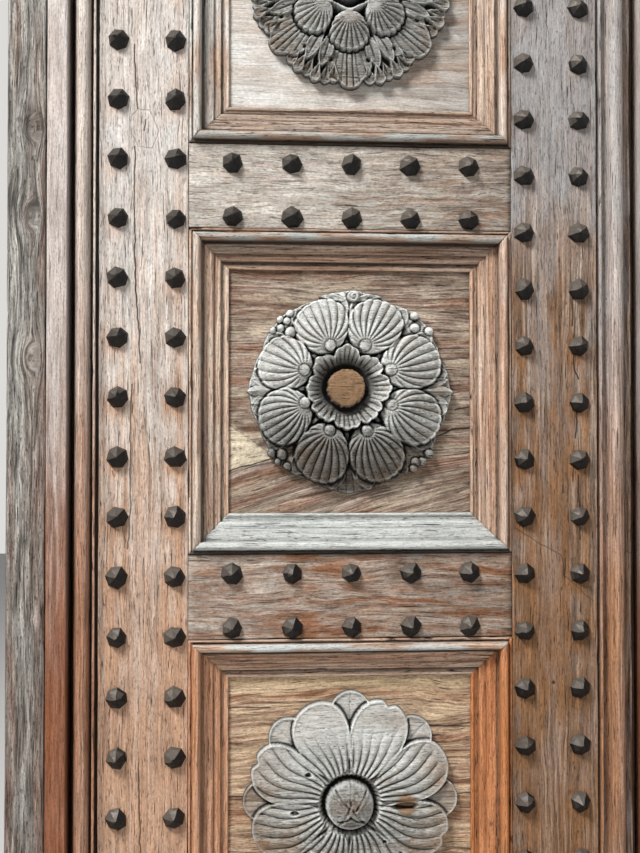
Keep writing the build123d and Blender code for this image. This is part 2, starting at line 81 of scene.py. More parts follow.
def setStops(ramp, stops):
    # the places of a ramp, and the sRGB tone at each
    elements = ramp.color_ramp.elements
    places = sorted(stops)
    elements[0].position, elements[1].position = places[0], places[-1]
    for place in places[1:-1]:
        elements.new(place)
    for element, place in zip(elements, places):
        element.color = linear(stops[place])


def softNoise(x, y, seed, cells=97):
    # smooth value noise from -1 to 1, one lump for each unit of x and y
    table = np.random.default_rng(seed).random((cells, cells)) * 2 - 1
    x, y = np.broadcast_arrays(np.asarray(x, float), np.asarray(y, float))
    column, row = np.floor(x).astype(int), np.floor(y).astype(int)
    fx, fy = smoothStep(0, 1, x - column), smoothStep(0, 1, y - row)
    column, row = column % cells, row % cells
    nextColumn, nextRow = (column + 1) % cells, (row + 1) % cells
    low = table[column, row] * (1 - fx) + table[nextColumn, row] * fx
    high = table[column, nextRow] * (1 - fx) + table[nextColumn, nextRow] * fx
    return low * (1 - fy) + high * fy


def layeredNoise(x, y, seed, layers=3):
    total = 0.0
    for layer in range(layers):
        total = total + softNoise(x * 2**layer, y * 2**layer, seed + 31 * layer) * 0.5**layer
    return total / (2 - 0.5**(layers - 1))


def smoothStep(low, high, value):
    t = np.clip((value - low) / (high - low), 0, 1)
    return t * t * (3 - 2 * t)


def setAttribute(mesh, name, values, domain="POINT"):
    kind, field = ("FLOAT_VECTOR", "vector") if np.ndim(values) == 2 else ("FLOAT", "value")
    layer = mesh.attributes.new(name, kind, domain)
    layer.data.foreach_set(field, np.asarray(values, np.float32).ravel())


def spots(x, y, z):
    # rows of points in metres from three grids in millimetres
    return np.stack([x, y, z], -1).reshape(-1, 3) * mm


def hump(value, width):
    # a soft rise to 1 where the value is 0
    return np.exp(-(value / width) ** 2)


def signedVolume(mesh):
    # below zero where the faces point inwards
    mesh.calc_loop_triangles()
    corners = np.zeros(len(mesh.vertices) * 3)
    mesh.vertices.foreach_get("co", corners)
    triangles = np.zeros(len(mesh.loop_triangles) * 3, int)
    mesh.loop_triangles.foreach_get("vertices", triangles)
    a, b, c = (corners.reshape(-1, 3)[triangles.reshape(-1, 3)[:, i]] for i in range(3))
    return float(np.einsum("ij,ij->i", a, np.cross(b, c)).sum())


def pieceName(node):
    # hinge_stile gives hingeStile
    first, *others = node.split("_")
    return first + "".join(word.capitalize() for word in others) if others else node + "Timber"


def linked(name, data):
    made = bpy.data.objects.new(name, data)
    bpy.context.scene.collection.objects.link(made)
    return made


def evaluatedMesh(carrier):
    return bpy.data.meshes.new_from_object(carrier.evaluated_get(bpy.context.evaluated_depsgraph_get()))


def setPiece(name, mesh, body, node):
    piece = linked(name, mesh)
    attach(piece, body)
    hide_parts(node)


def addPiece(node, points, faces, material, body, marks):
    # a piece whose mesh is already in place, with its marks as point attributes
    mesh = bpy.data.meshes.new(pieceName(node))
    mesh.from_pydata(points.tolist(), [], faces)
    for mark, values in marks.items():
        setAttribute(mesh, mark, values)
    mesh.polygons.foreach_set("use_smooth", [True] * len(mesh.polygons))
    mesh.materials.append(material)
    mesh.update()
    if signedVolume(mesh) < 0:
        mesh.flip_normals()
    setPiece(mesh.name, mesh, body, node)


def boxOf(node):
    low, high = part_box(node)
    return np.array(low) / mm, np.array(high) / mm


# Weathered wood


def stretchedPattern(add, grain, length, width, detail, shift=0.0):
    # noise drawn out along the grain: length and width are the size of its lumps in millimetres
    scale = (1 / (length * mm), 1 / (width * mm), 1 / (width * mm))
    moved = add("ShaderNodeVectorMath", {0: grain, 1: scale, 2: (shift,) * 3}, operation="MULTIPLY_ADD")
    return add("ShaderNodeTexNoise", {"Vector": moved, "Scale": 1.0, "Detail": detail, "Roughness": 0.55})


crackSway = {"lump": 18, "reach": 5}


def crackLines(add, place, cracks):
    # a mask of thin drying cracks and scarf joints, drawn between points along and across the face
    lumps = add("ShaderNodeTexNoise", {"Vector": place, "Scale": 1 / (crackSway["lump"] * mm), "Detail": 2.0})
    centred = add("ShaderNodeVectorMath", {0: lumps.outputs["Color"], 1: (-0.5,) * 3}, operation="ADD")
    reach = crackSway["reach"] * mm
    sway = add("ShaderNodeVectorMath", {0: centred, 1: (reach, reach, 0.0)}, operation="MULTIPLY")
    bent = add("ShaderNodeVectorMath", {0: place, 1: sway}, operation="ADD")
    total = None
    for width, dark, route in cracks:
        for start, end in zip(route[:-1], route[1:]):
            first = Vector((*start, 0)) * mm
            run = Vector((end[0] - start[0], end[1] - start[1], 0)) * mm
            beside = add("ShaderNodeVectorMath", {0: bent, 1: first}, operation="SUBTRACT")
            ahead = run / run.length_squared
            dot = add("ShaderNodeVectorMath", {0: beside, 1: ahead}, operation="DOT_PRODUCT")
            share = add("ShaderNodeMath", {0: dot, 1: 0.0}, operation="ADD", use_clamp=True)
            near = add("ShaderNodeVectorMath", {0: run, "Scale": share}, operation="SCALE")
            gap = add("ShaderNodeVectorMath", {0: beside, 1: near}, operation="DISTANCE")
            line = add("ShaderNodeMapRange", {0: gap, 1: 0.25 * width * mm, 2: width * mm, 3: dark, 4: 0.0})
            if total is not None:
                line = add("ShaderNodeMath", {0: total, 1: line}, operation="MAXIMUM")
            total = line
    return total


# detail and shift of each pattern in the wood
woodPatterns = {
    "streak": (5.0, 0.0), "hair": (3.0, 7.0), "band": (2.0, 3.0), "patch": (4.0, 11.0), "check": (1.0, 17.0),
    "pore": (1.0, 41.0), "speck": (2.0, 23.0), "blotch": (2.0, 31.0),
}
# marks that each timber carries, and the output that reads them
timberMarks = {"grainPlace": "Vector", "facePlace": "Vector", "warm": "Fac", "silver": "Fac", "dirt": "Fac"}


def weatheredWood(name, cracks=(), **changes):
    # Old oiled teak gone grey: streaks of the growth rings, silvered faces, warm wood where rain
    # doesn't reach, dark drying cracks, and dirt with painted shade in the corners
    look = {**woodLook, **changes}
    material, add = emptyMaterial(name)
    marks = {mark: add("ShaderNodeAttribute", attribute_name=mark).outputs[kind]
             for mark, kind in timberMarks.items()}
    drift = stretchedPattern(add, marks["grainPlace"], look["driftLength"], look["driftWidth"], 2.0, 29.0)
    reach = look["drift"] * mm
    aside = add("ShaderNodeMapRange", {0: drift, 1: 0.2, 2: 0.8, 3: -reach, 4: reach})
    offset = add("ShaderNodeCombineXYZ", {"Y": aside})
    grain = add("ShaderNodeVectorMath", {0: marks["grainPlace"], 1: offset}, operation="ADD")
    seen = {pattern: stretchedPattern(add, grain, look[pattern + "Length"], look[pattern + "Width"], *kind)
            for pattern, kind in woodPatterns.items()}

    streaked = add("ShaderNodeValToRGB", {0: seen["streak"]})
    setStops(streaked, {0.36: look["dark"], 0.50: look["mid"], 0.64: look["pale"]})
    bands = add("ShaderNodeMapRange", {0: seen["band"], 1: 0.45, 2: 0.62, 3: 0.0, 4: look["warmBands"]})
    warmth = add("ShaderNodeMath", {0: bands, 1: marks["warm"]}, operation="ADD", use_clamp=True)
    warmTone = add("ShaderNodeMix", {0: 0.45, 6: linear(look["warm"]), 7: streaked}, data_type="RGBA",
                   blend_type="OVERLAY")
    warmed = add("ShaderNodeMix", {0: warmth, 6: streaked, 7: warmTone}, data_type="RGBA")
    patches = add("ShaderNodeMapRange", {0: seen["patch"], 1: 0.47, 2: 0.62, 3: 0.0,
                                         4: look["silverPatches"]})
    bare = add("ShaderNodeMath", {0: 1.0, 1: marks["warm"]}, operation="SUBTRACT", use_clamp=True)
    silvering = add("ShaderNodeMath", {0: patches, 1: bare, 2: marks["silver"]}, operation="MULTIPLY_ADD",
                    use_clamp=True)
    lit = add("ShaderNodeMix", {0: silvering, 6: warmed, 7: linear(look["silver"])}, data_type="RGBA")
    for pattern in ("hair", "speck", "blotch"):
        darker, paler = 1 - look[pattern + "Contrast"], 1 + look[pattern + "Contrast"]
        shade = add("ShaderNodeMapRange", {0: seen[pattern], 1: 0.3, 2: 0.7, 3: darker, 4: paler})
        lit = add("ShaderNodeVectorMath", {0: lit, "Scale": shade}, operation="SCALE")

    start = look["checkStart"]
    checks = add("ShaderNodeMapRange", {0: seen["check"], 1: start, 2: start + 0.04, 3: 0.0,
                                        4: look["checkDark"]})
    pores = add("ShaderNodeMapRange", {0: seen["pore"], 1: 0.62, 2: 0.72, 3: 0.0, 4: look["poreDark"]})
    opened = add("ShaderNodeMath", {0: checks, 1: pores}, operation="MAXIMUM")
    if cracks:
        lines = crackLines(add, marks["facePlace"], cracks)
        opened = add("ShaderNodeMath", {0: opened, 1: lines}, operation="MAXIMUM")
    # cracks, pores and the dirt mark darken the wood; that mark holds real dirt and painted shade in hollows
    # and grooves
    grime = add("ShaderNodeMath", {0: opened, 1: marks["dirt"]}, operation="ADD", use_clamp=True)
    shadedAndGrimed = add("ShaderNodeMix", {0: grime, 6: lit, 7: linear(look["grime"])}, data_type="RGBA")
    relief = add("ShaderNodeMath", {0: seen["hair"], 1: seen["streak"]}, operation="ADD")
    cut = add("ShaderNodeMath", {0: opened, 1: -1.6, 2: relief}, operation="MULTIPLY_ADD")
    bump = add("ShaderNodeBump", {"Strength": look["bump"], "Distance": look["bumpDepth"] * mm,
                                  "Height": cut})
    rough = add("ShaderNodeMapRange", {0: seen["patch"], 1: 0.3, 2: 0.7, 3: look["roughness"] - 0.08,
                                       4: look["roughness"] + 0.08})
    shader = add("ShaderNodeBsdfPrincipled", {"Base Color": shadedAndGrimed, "Normal": bump, "Roughness": rough,
                                              "IOR": 1.45, "Specular IOR Level": look["sheen"]})
    add("ShaderNodeOutputMaterial", {0: shader})
    return material


# millimetres for every size; the tones are sRGB
woodLook = {
    "streakLength": 130, "streakWidth": 4.2, "hairLength": 42, "hairWidth": 1.3, "bandLength": 700,
    "bandWidth": 20, "patchLength": 120, "patchWidth": 30, "checkLength": 45, "checkWidth": 1.7,
    "poreLength": 11, "poreWidth": 1.3, "speckLength": 4, "speckWidth": 2.2, "blotchLength": 90,
    "blotchWidth": 40, "driftLength": 180, "driftWidth": 60, "drift": 5, "checkStart": 0.67,
    "checkDark": 0.8, "poreDark": 0.5, "hairContrast": 0.20, "speckContrast": 0.17, "blotchContrast": 0.10,
    "warmBands": 0.35, "silverPatches": 0.45, "dark": "#8f7a6c", "mid": "#b9a393", "pale": "#d9ccc0",
    "warm": "#b98563", "silver": "#cfccc5", "grime": "#1f1812", "bump": 0.8, "bumpDepth": 1.1,
    "roughness": 0.74, "sheen": 0.35,
}

# Cracks: width in millimetres, darkness, and places up and across each stile, or along and up a panel
hingeStileCracks = [
    (1.5, 0.85, [(1485, 52), (1463, 52), (1411, 55), (1391, 57)]),
    (1.1, 0.35, [(1380, 49), (1361, 44), (1335, 58), (1333, 78), (1359, 88), (1389, 74), (1391, 57),
                 (1380, 49)]),
    (1.5, 0.8, [(1374, 69), (1358, 67)]),
    (1.4, 0.85, [(1335, 53), (1256, 52), (1130, 54), (1077, 58), (1015, 61)]),
    (1.4, 0.75, [(983, 49), (927, 47), (863, 47), (810, 48), (743, 44)]),
    (1.4, 0.8, [(1800, 84), (1560, 88)]),
    (1.4, 0.8, [(430, 60), (190, 66)]),
]
lockStileCracks = [
    (1.5, 0.9, [(1128, 94), (1075, 95)]),
    (1.5, 0.9, [(1038, 96), (1010, 97), (994, 103)]),
    (1.5, 0.9, [(955, 101), (906, 99)]),
    (1.3, 0.8, [(850, 103), (828, 103), (753, 105)]),
    (1.2, 0.45, [(769, 6), (728, 77), (699, 81), (660, 124)]),
    (1.2, 0.5, [(592, 91), (503, 93)]),
    (3.2, 0.9, [(540, 64), (538, 64)]),
    (1.4, 0.8, [(1760, 40), (1600, 44)]),
]
middlePanelCracks = [
    (1.6, 0.85, [(59, 122), (118, 138), (128, 142)]),
    (0.9, 0.35, [(59, 192), (118, 150)]),
    (1.8, 0.9, [(362, 170), (396, 184), (424, 187)]),
    (1.4, 0.8, [(401, 214), (424, 219)]),
    (1.0, 0.5, [(380, 330), (424, 334)]),
]
lowerPanelCracks = [
    (1.6, 0.85, [(59, 378), (120, 377)]),
    (1.4, 0.8, [(340, 347), (424, 344)]),
    (1.4, 0.8, [(59, 246), (110, 247)]),
    (1.4, 0.8, [(380, 246), (424, 244)]),
    (1.3, 0.7, [(70, 90), (240, 94)]),
]
upperPanelCracks = [
    (1.2, 0.6, [(62, 330), (180, 333)]),
    (1.2, 0.6, [(330, 400), (424, 404)]),
]
stileWood = weatheredWood("stileTeakWeathered", hingeStileCracks, dark="#9a8b80", mid="#c5b7aa",
                          pale="#dbd1c8", warm="#b99880", silver="#cdc9c4", bandWidth=11, bandLength=320,
                          warmBands=0.45)
lockStileWood = weatheredWood("lockStileTeakWeathered", lockStileCracks, dark="#4f3d31", mid="#897260",
                              pale="#bfac9b", warm="#96714f", silver="#9d9997", bandWidth=13, bandLength=300,
                              warmBands=0.7)
railWood = weatheredWood("railTeakWeathered", dark="#77665a", mid="#9b8979", pale="#bbac9c", warm="#9c6e4f",
                         silver="#c0b9af", streakLength=80, hairLength=34, drift=9, patchLength=45,
                         patchWidth=9, silverPatches=0.6, blotchContrast=0.18, hairContrast=0.26,
                         speckContrast=0.26, checkDark=0.65, poreDark=0.45, warmBands=0.8, bandLength=170,
                         bandWidth=15)
panelTones = {
    "lower": dict(
        dark="#73543d", mid="#b0937b", pale="#dabfa0", warm="#9c6c4a", silver="#ceb691", streakLength=70,
        hairLength=34, drift=12, driftLength=150, warmBands=0.5, patchLength=80, patchWidth=12,
        silverPatches=0.4, blotchContrast=0.16, roughness=0.66, speckContrast=0.24),
    "middle": dict(
        dark="#58463a", mid="#8d7a6b", pale="#b8a698", warm="#8a5a3c", silver="#cdbfa6", streakLength=80,
        streakWidth=3.2, hairLength=34, drift=8, driftLength=200, warmBands=0.6, bandLength=260,
        patchLength=70, patchWidth=16, silverPatches=0.4, blotchContrast=0.2, roughness=0.66,
        speckContrast=0.26, hairContrast=0.26),
    "upper": dict(
        dark="#a59a8f", mid="#bdb2a7", pale="#cfc7be", warm="#ac8d75", silver="#d2cfc9", streakLength=80,
        hairLength=40, drift=8, warmBands=0.4, patchLength=100, patchWidth=25, checkDark=0.3, poreDark=0.2,
        silverPatches=0.6, blotchContrast=0.08, hairContrast=0.12),
}
panelCracks = {"lower": lowerPanelCracks, "middle": middlePanelCracks, "upper": upperPanelCracks}
panelWoods = {name: weatheredWood(name + "PanelTeakOiled", panelCracks[name], **tones)
              for name, tones in panelTones.items()}
mouldingWood = weatheredWood("mouldingTeakPlaned", dark="#947664", mid="#c4a993", pale="#e2cdb9",
                             warm="#bd8254", silver="#cdd0cc", streakWidth=3.0, warmBands=0.2,
                             hairContrast=0.18, silverPatches=0.15, roughness=0.62, drift=3)
borderWood = weatheredWood("borderTeakPlaned", dark="#7b6355", mid="#b69e8e", pale="#e2d0c2", warm="#a88066",
                           silver="#d2c9c0", streakWidth=3.2, hairContrast=0.26, silverPatches=0.25, drift=3)
lockBorderWood = weatheredWood("lockBorderTeakPlaned", dark="#6a5447", mid="#a9958a", pale="#d6c7be",
                               warm="#ac8260", silver="#aeaaa7", streakWidth=3.2, hairContrast=0.28,
                               silverPatches=0.3, drift=3)
postWood = weatheredWood("frameTeakBleached", dark="#4b4742", mid="#89847d", pale="#b8b4ac", warm="#84604f",
                         silver="#9b9b95", streakLength=80, streakWidth=4.0, hairLength=28, hairWidth=1.8,
                         hairContrast=0.34, warmBands=0.5, roughness=0.82, bumpDepth=2.0, speckContrast=0.2,
                         drift=3, poreDark=0.6)
stopWood = weatheredWood("stopStripTeakPlaned", dark="#7a675b", mid="#aa9a90", pale="#c9beb5", warm="#915d3f",
                         silver="#c6bdb7", streakLength=120, checkDark=0.5, roughness=0.6, poreDark=0.3,
                         drift=3)
boardWood = weatheredWood("backBoardTeakSawn", dark="#54402f", mid="#7b6350", pale="#a08a76", warm="#845f43",
                          silver="#928a80", streakLength=420, streakWidth=7.0, hairLength=120, hairWidth=2.2,
                          checkLength=160, driftLength=500, drift=14, patchLength=420, blotchLength=300,
                          blotchContrast=0.16, speckContrast=0.08, silverPatches=0.5, roughness=0.8)


def sectionNormals(section):
    # outward unit normals of a closed section, which runs clockwise seen with its first axis to the right
    ahead, behind = np.roll(section, -1, 0), np.roll(section, 1, 0)
    tangent = ahead - behind
    normal = np.stack([-tangent[:, 1], tangent[:, 0]], 1)
    return normal / np.maximum(np.linalg.norm(normal, axis=1, keepdims=True), 1e-9)


def sectionHollows(section, reach):
    # how far each front point of a section lies below the wood beside it
    highest = section[:, 1].max()
    front = section[:, 1] > highest * 0.05
    gaps = np.abs(section[:, None, 0] - section[None, :, 0])
    near = (gaps < reach) & front[None]
    beside = np.where(near, section[None, :, 1], 0).sum(1) / np.maximum(near.sum(1), 1)
    return np.where(front, beside - section[:, 1], 0)


# wear of a timber's skin, and the dirt and painted shade in its hollows, unless its piece says otherwise
timberSkin = {
    "step": 6.0, "mitre": 0.0, "ringLength": 160, "ringWidth": 5.0, "grooveDepth": 0.9, "swellLength": 240,
    "swellWidth": 45, "swell": 0.5, "nickLength": 26, "nickWidth": 7, "nickDepth": 0.8, "wearLength": 60,
    "wearWidth": 9, "edgeWear": 0.0, "shownAbove": 1.0, "hollowReach": 5.0, "hollowShadeAndDirt": 0.0,
}


def sweepTimber(node, section, length, place, material, body, seed, options):
    # a length of timber: its section is swept along the grain and its skin worn by rings, swells, dents and
    # rubbed edges
    skin = {**timberSkin, **options}
    closed = np.concatenate([section, section[:1]])
    girth = np.concatenate([[0], np.cumsum(np.linalg.norm(np.diff(closed, axis=0), axis=1))])[:-1][None]
    size, count = len(section), max(3, int(length / skin["step"]) + 1)
    across, out = section[:, 0][None], section[:, 1][None]
    start = skin["mitre"] * across
    along = start + np.linspace(0, 1, count)[:, None] * (length - 2 * start)

    def lumps(kind, shift, layers=1):
        return layeredNoise(along / skin[kind + "Length"], girth / skin[kind + "Width"], seed + shift, layers)

    groove = np.clip(-lumps("ring", 0, 2) - 0.1, 0, 1) * skin["grooveDepth"]
    swell = (lumps("swell", 7, 2) + 1) * skin["swell"]
    nicks = smoothStep(0.55, 0.85, lumps("nick", 13)) * skin["nickDepth"]
    worn = np.clip(skin["edgeWear"] * (lumps("wear", 19) + 0.2), 0, 3)
    shown = out > skin["shownAbove"]
    depth = (groove + swell + nicks + worn * skin["edge"][None]) * shown
    normals = sectionNormals(section)
    points = place(along, across - normals[:, 0][None] * depth, out - normals[:, 1][None] * depth)
    row, column = np.arange(count - 1)[:, None] * size, np.arange(size)[None]
    nextColumn = (column + 1) % size
    faces = np.stack([row + column, row + nextColumn, row + size + nextColumn, row + size + column], -1)
    faces = faces.reshape(-1, 4).tolist()
    faces.append(list(range(size))[::-1])
    faces.append([size * (count - 1) + i for i in range(size)])

    full = np.ones((count, 1))
    grainAcross = girth * full
    for knotAlong, knotAcross, spread in skin.get("knots", ()):
        gap = np.hypot((along - knotAlong) / 1.8, across - knotAcross)
        near = hump(gap, 1.5 * spread) * shown
        grainAcross = grainAcross - near * (across - knotAcross) * 0.8
        grainAcross = grainAcross + smoothStep(spread, 0, gap) * shown * gap * 1.3
    at = SimpleNamespace(along=along, across=across, out=out, seed=seed)
    if "tilt" in skin:
        grainAcross = grainAcross + skin["tilt"](at) * full
    hollows = smoothStep(0.6, 4.0, sectionHollows(section, skin["hollowReach"]))[None]
    marks = {mark: np.broadcast_to(skin[mark](at) if mark in skin else 0.0, depth.shape).ravel()
             for mark in ("warm", "silver", "dirt")}
    # dirt in the ring grooves and dents, and painted shade with dirt in the section's hollows
    grime = (groove * 0.3 + nicks * 0.12 + skin["hollowShadeAndDirt"] * hollows).ravel()
    marks["dirt"] = np.clip(grime + marks["dirt"], 0, 0.96)
    sunk = np.maximum(out.max() - 3 - out, 0)
    # every timber has a piece of the grain's pattern to itself
    marks["grainPlace"] = spots((along + 911 * seed) * full, grainAcross + 37 * seed, out * full)
    marks["facePlace"] = spots(along * full, across * full, sunk * full)
    addPiece(node, spots(*points), faces, material, body, marks)


def plankSection(width, depth, spacing, radius, sideSpacing, backSpacing):
    # rectangle with eased front edges: up one side, across the front, down the other, and along the back
    quarter = np.linspace(0, math.pi / 2, 4)
    left = [(0.0, y) for y in np.arange(0, depth - radius, sideSpacing)]
    leftEdge = [(radius - radius * math.cos(t), depth - radius + radius * math.sin(t)) for t in quarter]
    inner = np.linspace(radius, width - radius, max(2, int((width - 2 * radius) / spacing)) + 1)[1:-1]
    front = [(x, depth) for x in inner]
    rightEdge = [(width - radius + radius * math.sin(t), depth - radius + radius * math.cos(t))
                 for t in quarter]
    right = [(width, y) for y in np.arange(0, depth - radius, sideSpacing)[::-1]]
    backCount = max(1, int(width / backSpacing))
    back = [(width * i / backCount, 0.0) for i in range(backCount - 1, 0, -1)]
    section = np.array(left + leftEdge + front + rightEdge + right + back)
    edge = np.zeros(len(section))
    edge[len(left):len(left) + len(leftEdge)] = 1
    start = len(left) + len(leftEdge) + len(front)
    edge[start:start + len(rightEdge)] = 1
    return section, edge


def plankPiece(node, grain, material, body, slot, seed, span=None, spacing=1.6, radius=1.6, sideSpacing=8.0,
               backSpacing=16.0, faceBack=False, **options):
    # a plank in place of its node: its grain runs along x or z, and its face looks to -y or to +y
    low, high = boxOf(node)
    if span:
        low[0], high[0] = span
    alongAxis, acrossAxis = (0, 2) if grain == "x" else (2, 0)
    section, options["edge"] = plankSection(high[acrossAxis] - low[acrossAxis], high[1] - low[1], spacing,
                                            radius, sideSpacing, backSpacing)

    def place(along, across, out):
        depth = low[1] + out if faceBack else high[1] - out
        if grain == "x":
            return low[0] + along, depth, low[2] + across
        return low[0] + across, depth, low[2] + along

    sweepTimber(node, section, high[alongAxis] - low[alongAxis], place, material, body, seed, options)


# Framing of the leaf: where the tones change is given along and across each face, in millimetres

panelLow, panelHigh = boxOf("middle_panel")
openingLeft, openingRight = panelLow[0], panelHigh[0]
panelMiddle = (openingLeft + openingRight) / 2
openingWidth = openingRight - openingLeft


def always(amount):
    return lambda at: amount


def fadeUp(low, high, amount):
    # a mark that grows along the piece
    return lambda at: amount * smoothStep(low, high, at.along)


def fadeDown(low, high, amount):
    return lambda at: amount * (1 - smoothStep(low, high, at.along))


def studPlaces(node):
    # the middle of each loose solid of a stud group
    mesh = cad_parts[node].data
    corners = np.array([v.co for v in mesh.vertices])
    low, high = corners[:, 1].min(), corners[:, 1].max()
    tips = corners[corners[:, 1] < low + 0.3 * mm]
    places = []
    for tip in tips:
        if all(np.linalg.norm(tip - other) > 5 * mm for other in places):
            places.append(tip)
    return np.array([(x, high, z) for x, y, z in places])


def rustBelow(studNode, node):
    # rust and oil run a little way down the wood from every stud
    low, high = boxOf(node)
    places = studPlaces(studNode) / mm
    places = places[((places > low) & (places < high))[:, [0, 2]].all(1)]

    def amount(at):
        total = 0.0
        for index, (studX, studZ) in enumerate(places[:, [0, 2]]):
            weight = 0.25 + 0.6 * (softNoise(index * 3.7, 0.5, 61) > -0.1)
            beside = hump(low[0] + at.across - studX + 5, 15)
            total = total + weight * beside * hump(low[2] + at.along - studZ + 10, 22)
        return total

    return amount


def besideStuds(at):
    # oil has warmed a band down the stile's edge
    return 0.7 * hump(at.across - 118, 6) * (0.6 + 0.4 * softNoise(at.along / 90, 0.5, at.seed))


hingeRust = rustBelow("hinge_stile_studs", "hinge_stile")
lockRust = rustBelow("lock_stile_studs", "lock_stile")
hingeStile = {
    "warm": lambda at: 0.85 * (1 - smoothStep(350, 1150, at.along)) + besideStuds(at) + hingeRust(at),
    "silver": fadeUp(900, 1350, 0.45), "dirt": lambda at: 0.3 * smoothStep(16, 3, at.across),
}
lockStile = {
    "warm": lambda at: 0.6 * (1 - smoothStep(500, 1250, at.along)) + lockRust(at),
    "silver": fadeUp(1080, 1360, 0.75),
}
stileSkin = {"edgeWear": 0.6, "spacing": 2.3, "step": 8.0}
plankPiece("hinge_stile", "z", stileWood, "leaf", "framing_wood", 21, **stileSkin, **hingeStile)
plankPiece("lock_stile", "z", lockStileWood, "leaf", "framing_wood", 22, **stileSkin, **lockStile)


def pastJoint(amount):
    # even over a rail, but not on the end that meets the hinge stile
    return lambda at: amount * (at.along > 0)


railSkin = {"edgeWear": 0.7, "grooveDepth": 1.1, "spacing": 2.0, "step": 7.0}
railLooks = {
    "bottom_rail": {"warm": pastJoint(0.3), "dirt": pastJoint(0.08)},
    "lower_rail": {"warm": pastJoint(0.25), "silver": fadeDown(60, 200, 0.2), "dirt": fadeUp(150, 480, 0.22)},
    "upper_rail": {"warm": pastJoint(-0.4), "silver": fadeDown(150, 450, 0.6), "dirt": fadeUp(150, 450, 0.2)},
    "top_rail": {"warm": pastJoint(-0.4), "silver": fadeDown(150, 450, 0.6), "dirt": fadeUp(150, 450, 0.15)},
}
for index, (rail, look) in enumerate(railLooks.items()):
    plankPiece(rail, "x", railWood, "leaf", "framing_wood", 31 + index, span=(openingLeft, openingRight),
               **railSkin, **look)
print("framing made")


def creamPatch(at):
    # bare pale wood low on the middle panel's left, over a slanted crack
    under = at.across > 122 + (at.along - 59) * 0.27
    over = at.across < 192 - (at.along - 59) * 0.72
    return 0.95 * (under & over & (at.along > 57) & (at.along < 122))


def oiledCorner(at):
    # a warm patch at the lower panel's upper right corner
    return 0.8 * ((at.along + at.across * 0.6 > 640) & (at.across < 372) & (at.across > 338))


panelLooks = {
    "lower": {"silver": lambda at: 0.6 * smoothStep(395, 418, at.across), "warm": oiledCorner},
    "middle": {
        "silver": creamPatch,
        "dirt": lambda at: 0.15 * smoothStep(380, 425, at.across) + 0.2 * smoothStep(350, 430, at.along),
        "tilt": lambda at: -0.28 * (at.along - 241) * smoothStep(200, 90, at.across),
    },
    "upper": {"silver": lambda at: 0.4 * smoothStep(300, 80, at.along), "dirt": fadeUp(250, 430, 0.32)},
}
panelSkin = {"spacing": 3.0, "step": 8.0, "radius": 0.5, "ringWidth": 4.0}
for index, (panel, look) in enumerate(panelLooks.items()):
    plankPiece(panel + "_panel", "x", panelWoods[panel], "leaf", "panel_wood", 41 + index, **panelSkin,
               **look)
print("panels made")

# Planted mouldings round the panels, from the opening's edge inwards

mouldingSizes = {
    "recess": 22.0, "lip": 4.0, "lipRise": 1.5, "quirk": 2.0, "quirkDepth": 0.5, "ridge": 12.0,
    "shoulder": 6.0, "cove": 6.0, "coveRise": 4.0, "flat": 12.5, "flatDepth": 8.0, "bead": 10.5,
    "beadDepth": 12.5, "step": 7.5, "stepHeight": 3.5, "fillet": 4.5, "filletHeight": 5.5,
}


def mouldingSection(lip, quirk, quirkDepth, ridge, cove, coveRise, flat, flatDepth, bead, beadDepth, step,
                    fillet, recess, lipRise, shoulder, stepHeight, filletHeight):
    ridgeStart = lip + quirk
    ridgeEnd = ridgeStart + ridge
    coveEnd = ridgeEnd + cove
    flatEnd = coveEnd + flat
    beadEnd = flatEnd + bead
    stepEnd = beadEnd + step
    width = stepEnd + fillet
    flatTop, beadTop = recess - flatDepth, recess - beadDepth
    foot = recess + shoulder
    half, beadHalf = ridge / 2, bead / 2
    upper = [(0.0, 0.0), (0.0, recess * 0.5), (0.0, recess + lipRise - 0.7), (0.7, recess + lipRise),
             (lip - 0.6, recess + lipRise), (lip, recess + lipRise - 0.6), (lip + 0.2, recess - quirkDepth),
             (ridgeStart - 0.3, recess - quirkDepth)]
    ridgeRound = [(ridgeStart + half + half * math.cos(t), foot + half * math.sin(t))
                  for t in np.linspace(math.pi, 0, 11)]
    coveHollow = [(ridgeEnd + 0.6 + (cove - 0.6) * (1 - math.cos(t)), flatTop + coveRise * (1 - math.sin(t)))
                  for t in np.linspace(0, math.pi / 2, 5)[1:]]
    flatBand = [(coveEnd + flat * k / 5, flatTop) for k in (1, 2, 3, 4)] + [(flatEnd - 0.5, flatTop - 0.2)]
    beadRound = [(flatEnd + beadHalf + beadHalf * math.cos(t), beadTop - 1.2 + 1.2 * math.sin(t))
                 for t in np.linspace(math.pi, 0, 7)]
    lower = [(beadEnd + 0.6, stepHeight + 0.4), (beadEnd + 1.4, stepHeight), (stepEnd - 0.6, stepHeight),
             (stepEnd, filletHeight - 0.5), (stepEnd + 0.6, filletHeight), (width - 0.8, filletHeight - 0.2),
             (width, filletHeight - 1.0), (width, 0.0)]
    return np.array(upper + ridgeRound + coveHollow + flatBand + beadRound + lower)


mouldingLoop = mouldingSection(**mouldingSizes)
ridgeEdge = smoothStep(mouldingSizes["recess"] + 4, mouldingSizes["recess"] + 10, mouldingLoop[:, 1])
# the hollows of the moulding's section are darkened with painted shade and dirt
mouldingSkin = {
    "mitre": 1.0, "step": 4.0, "edge": ridgeEdge, "edgeWear": 1.2, "swell": 0.25, "grooveDepth": 0.5,
    "ringWidth": 3.0, "nickDepth": 0.7, "hollowShadeAndDirt": 0.85, "hollowReach": 4.5,
}
sideTurns = {"bottom": 0.0, "lock": 90.0, "top": 180.0, "hinge": 270.0}


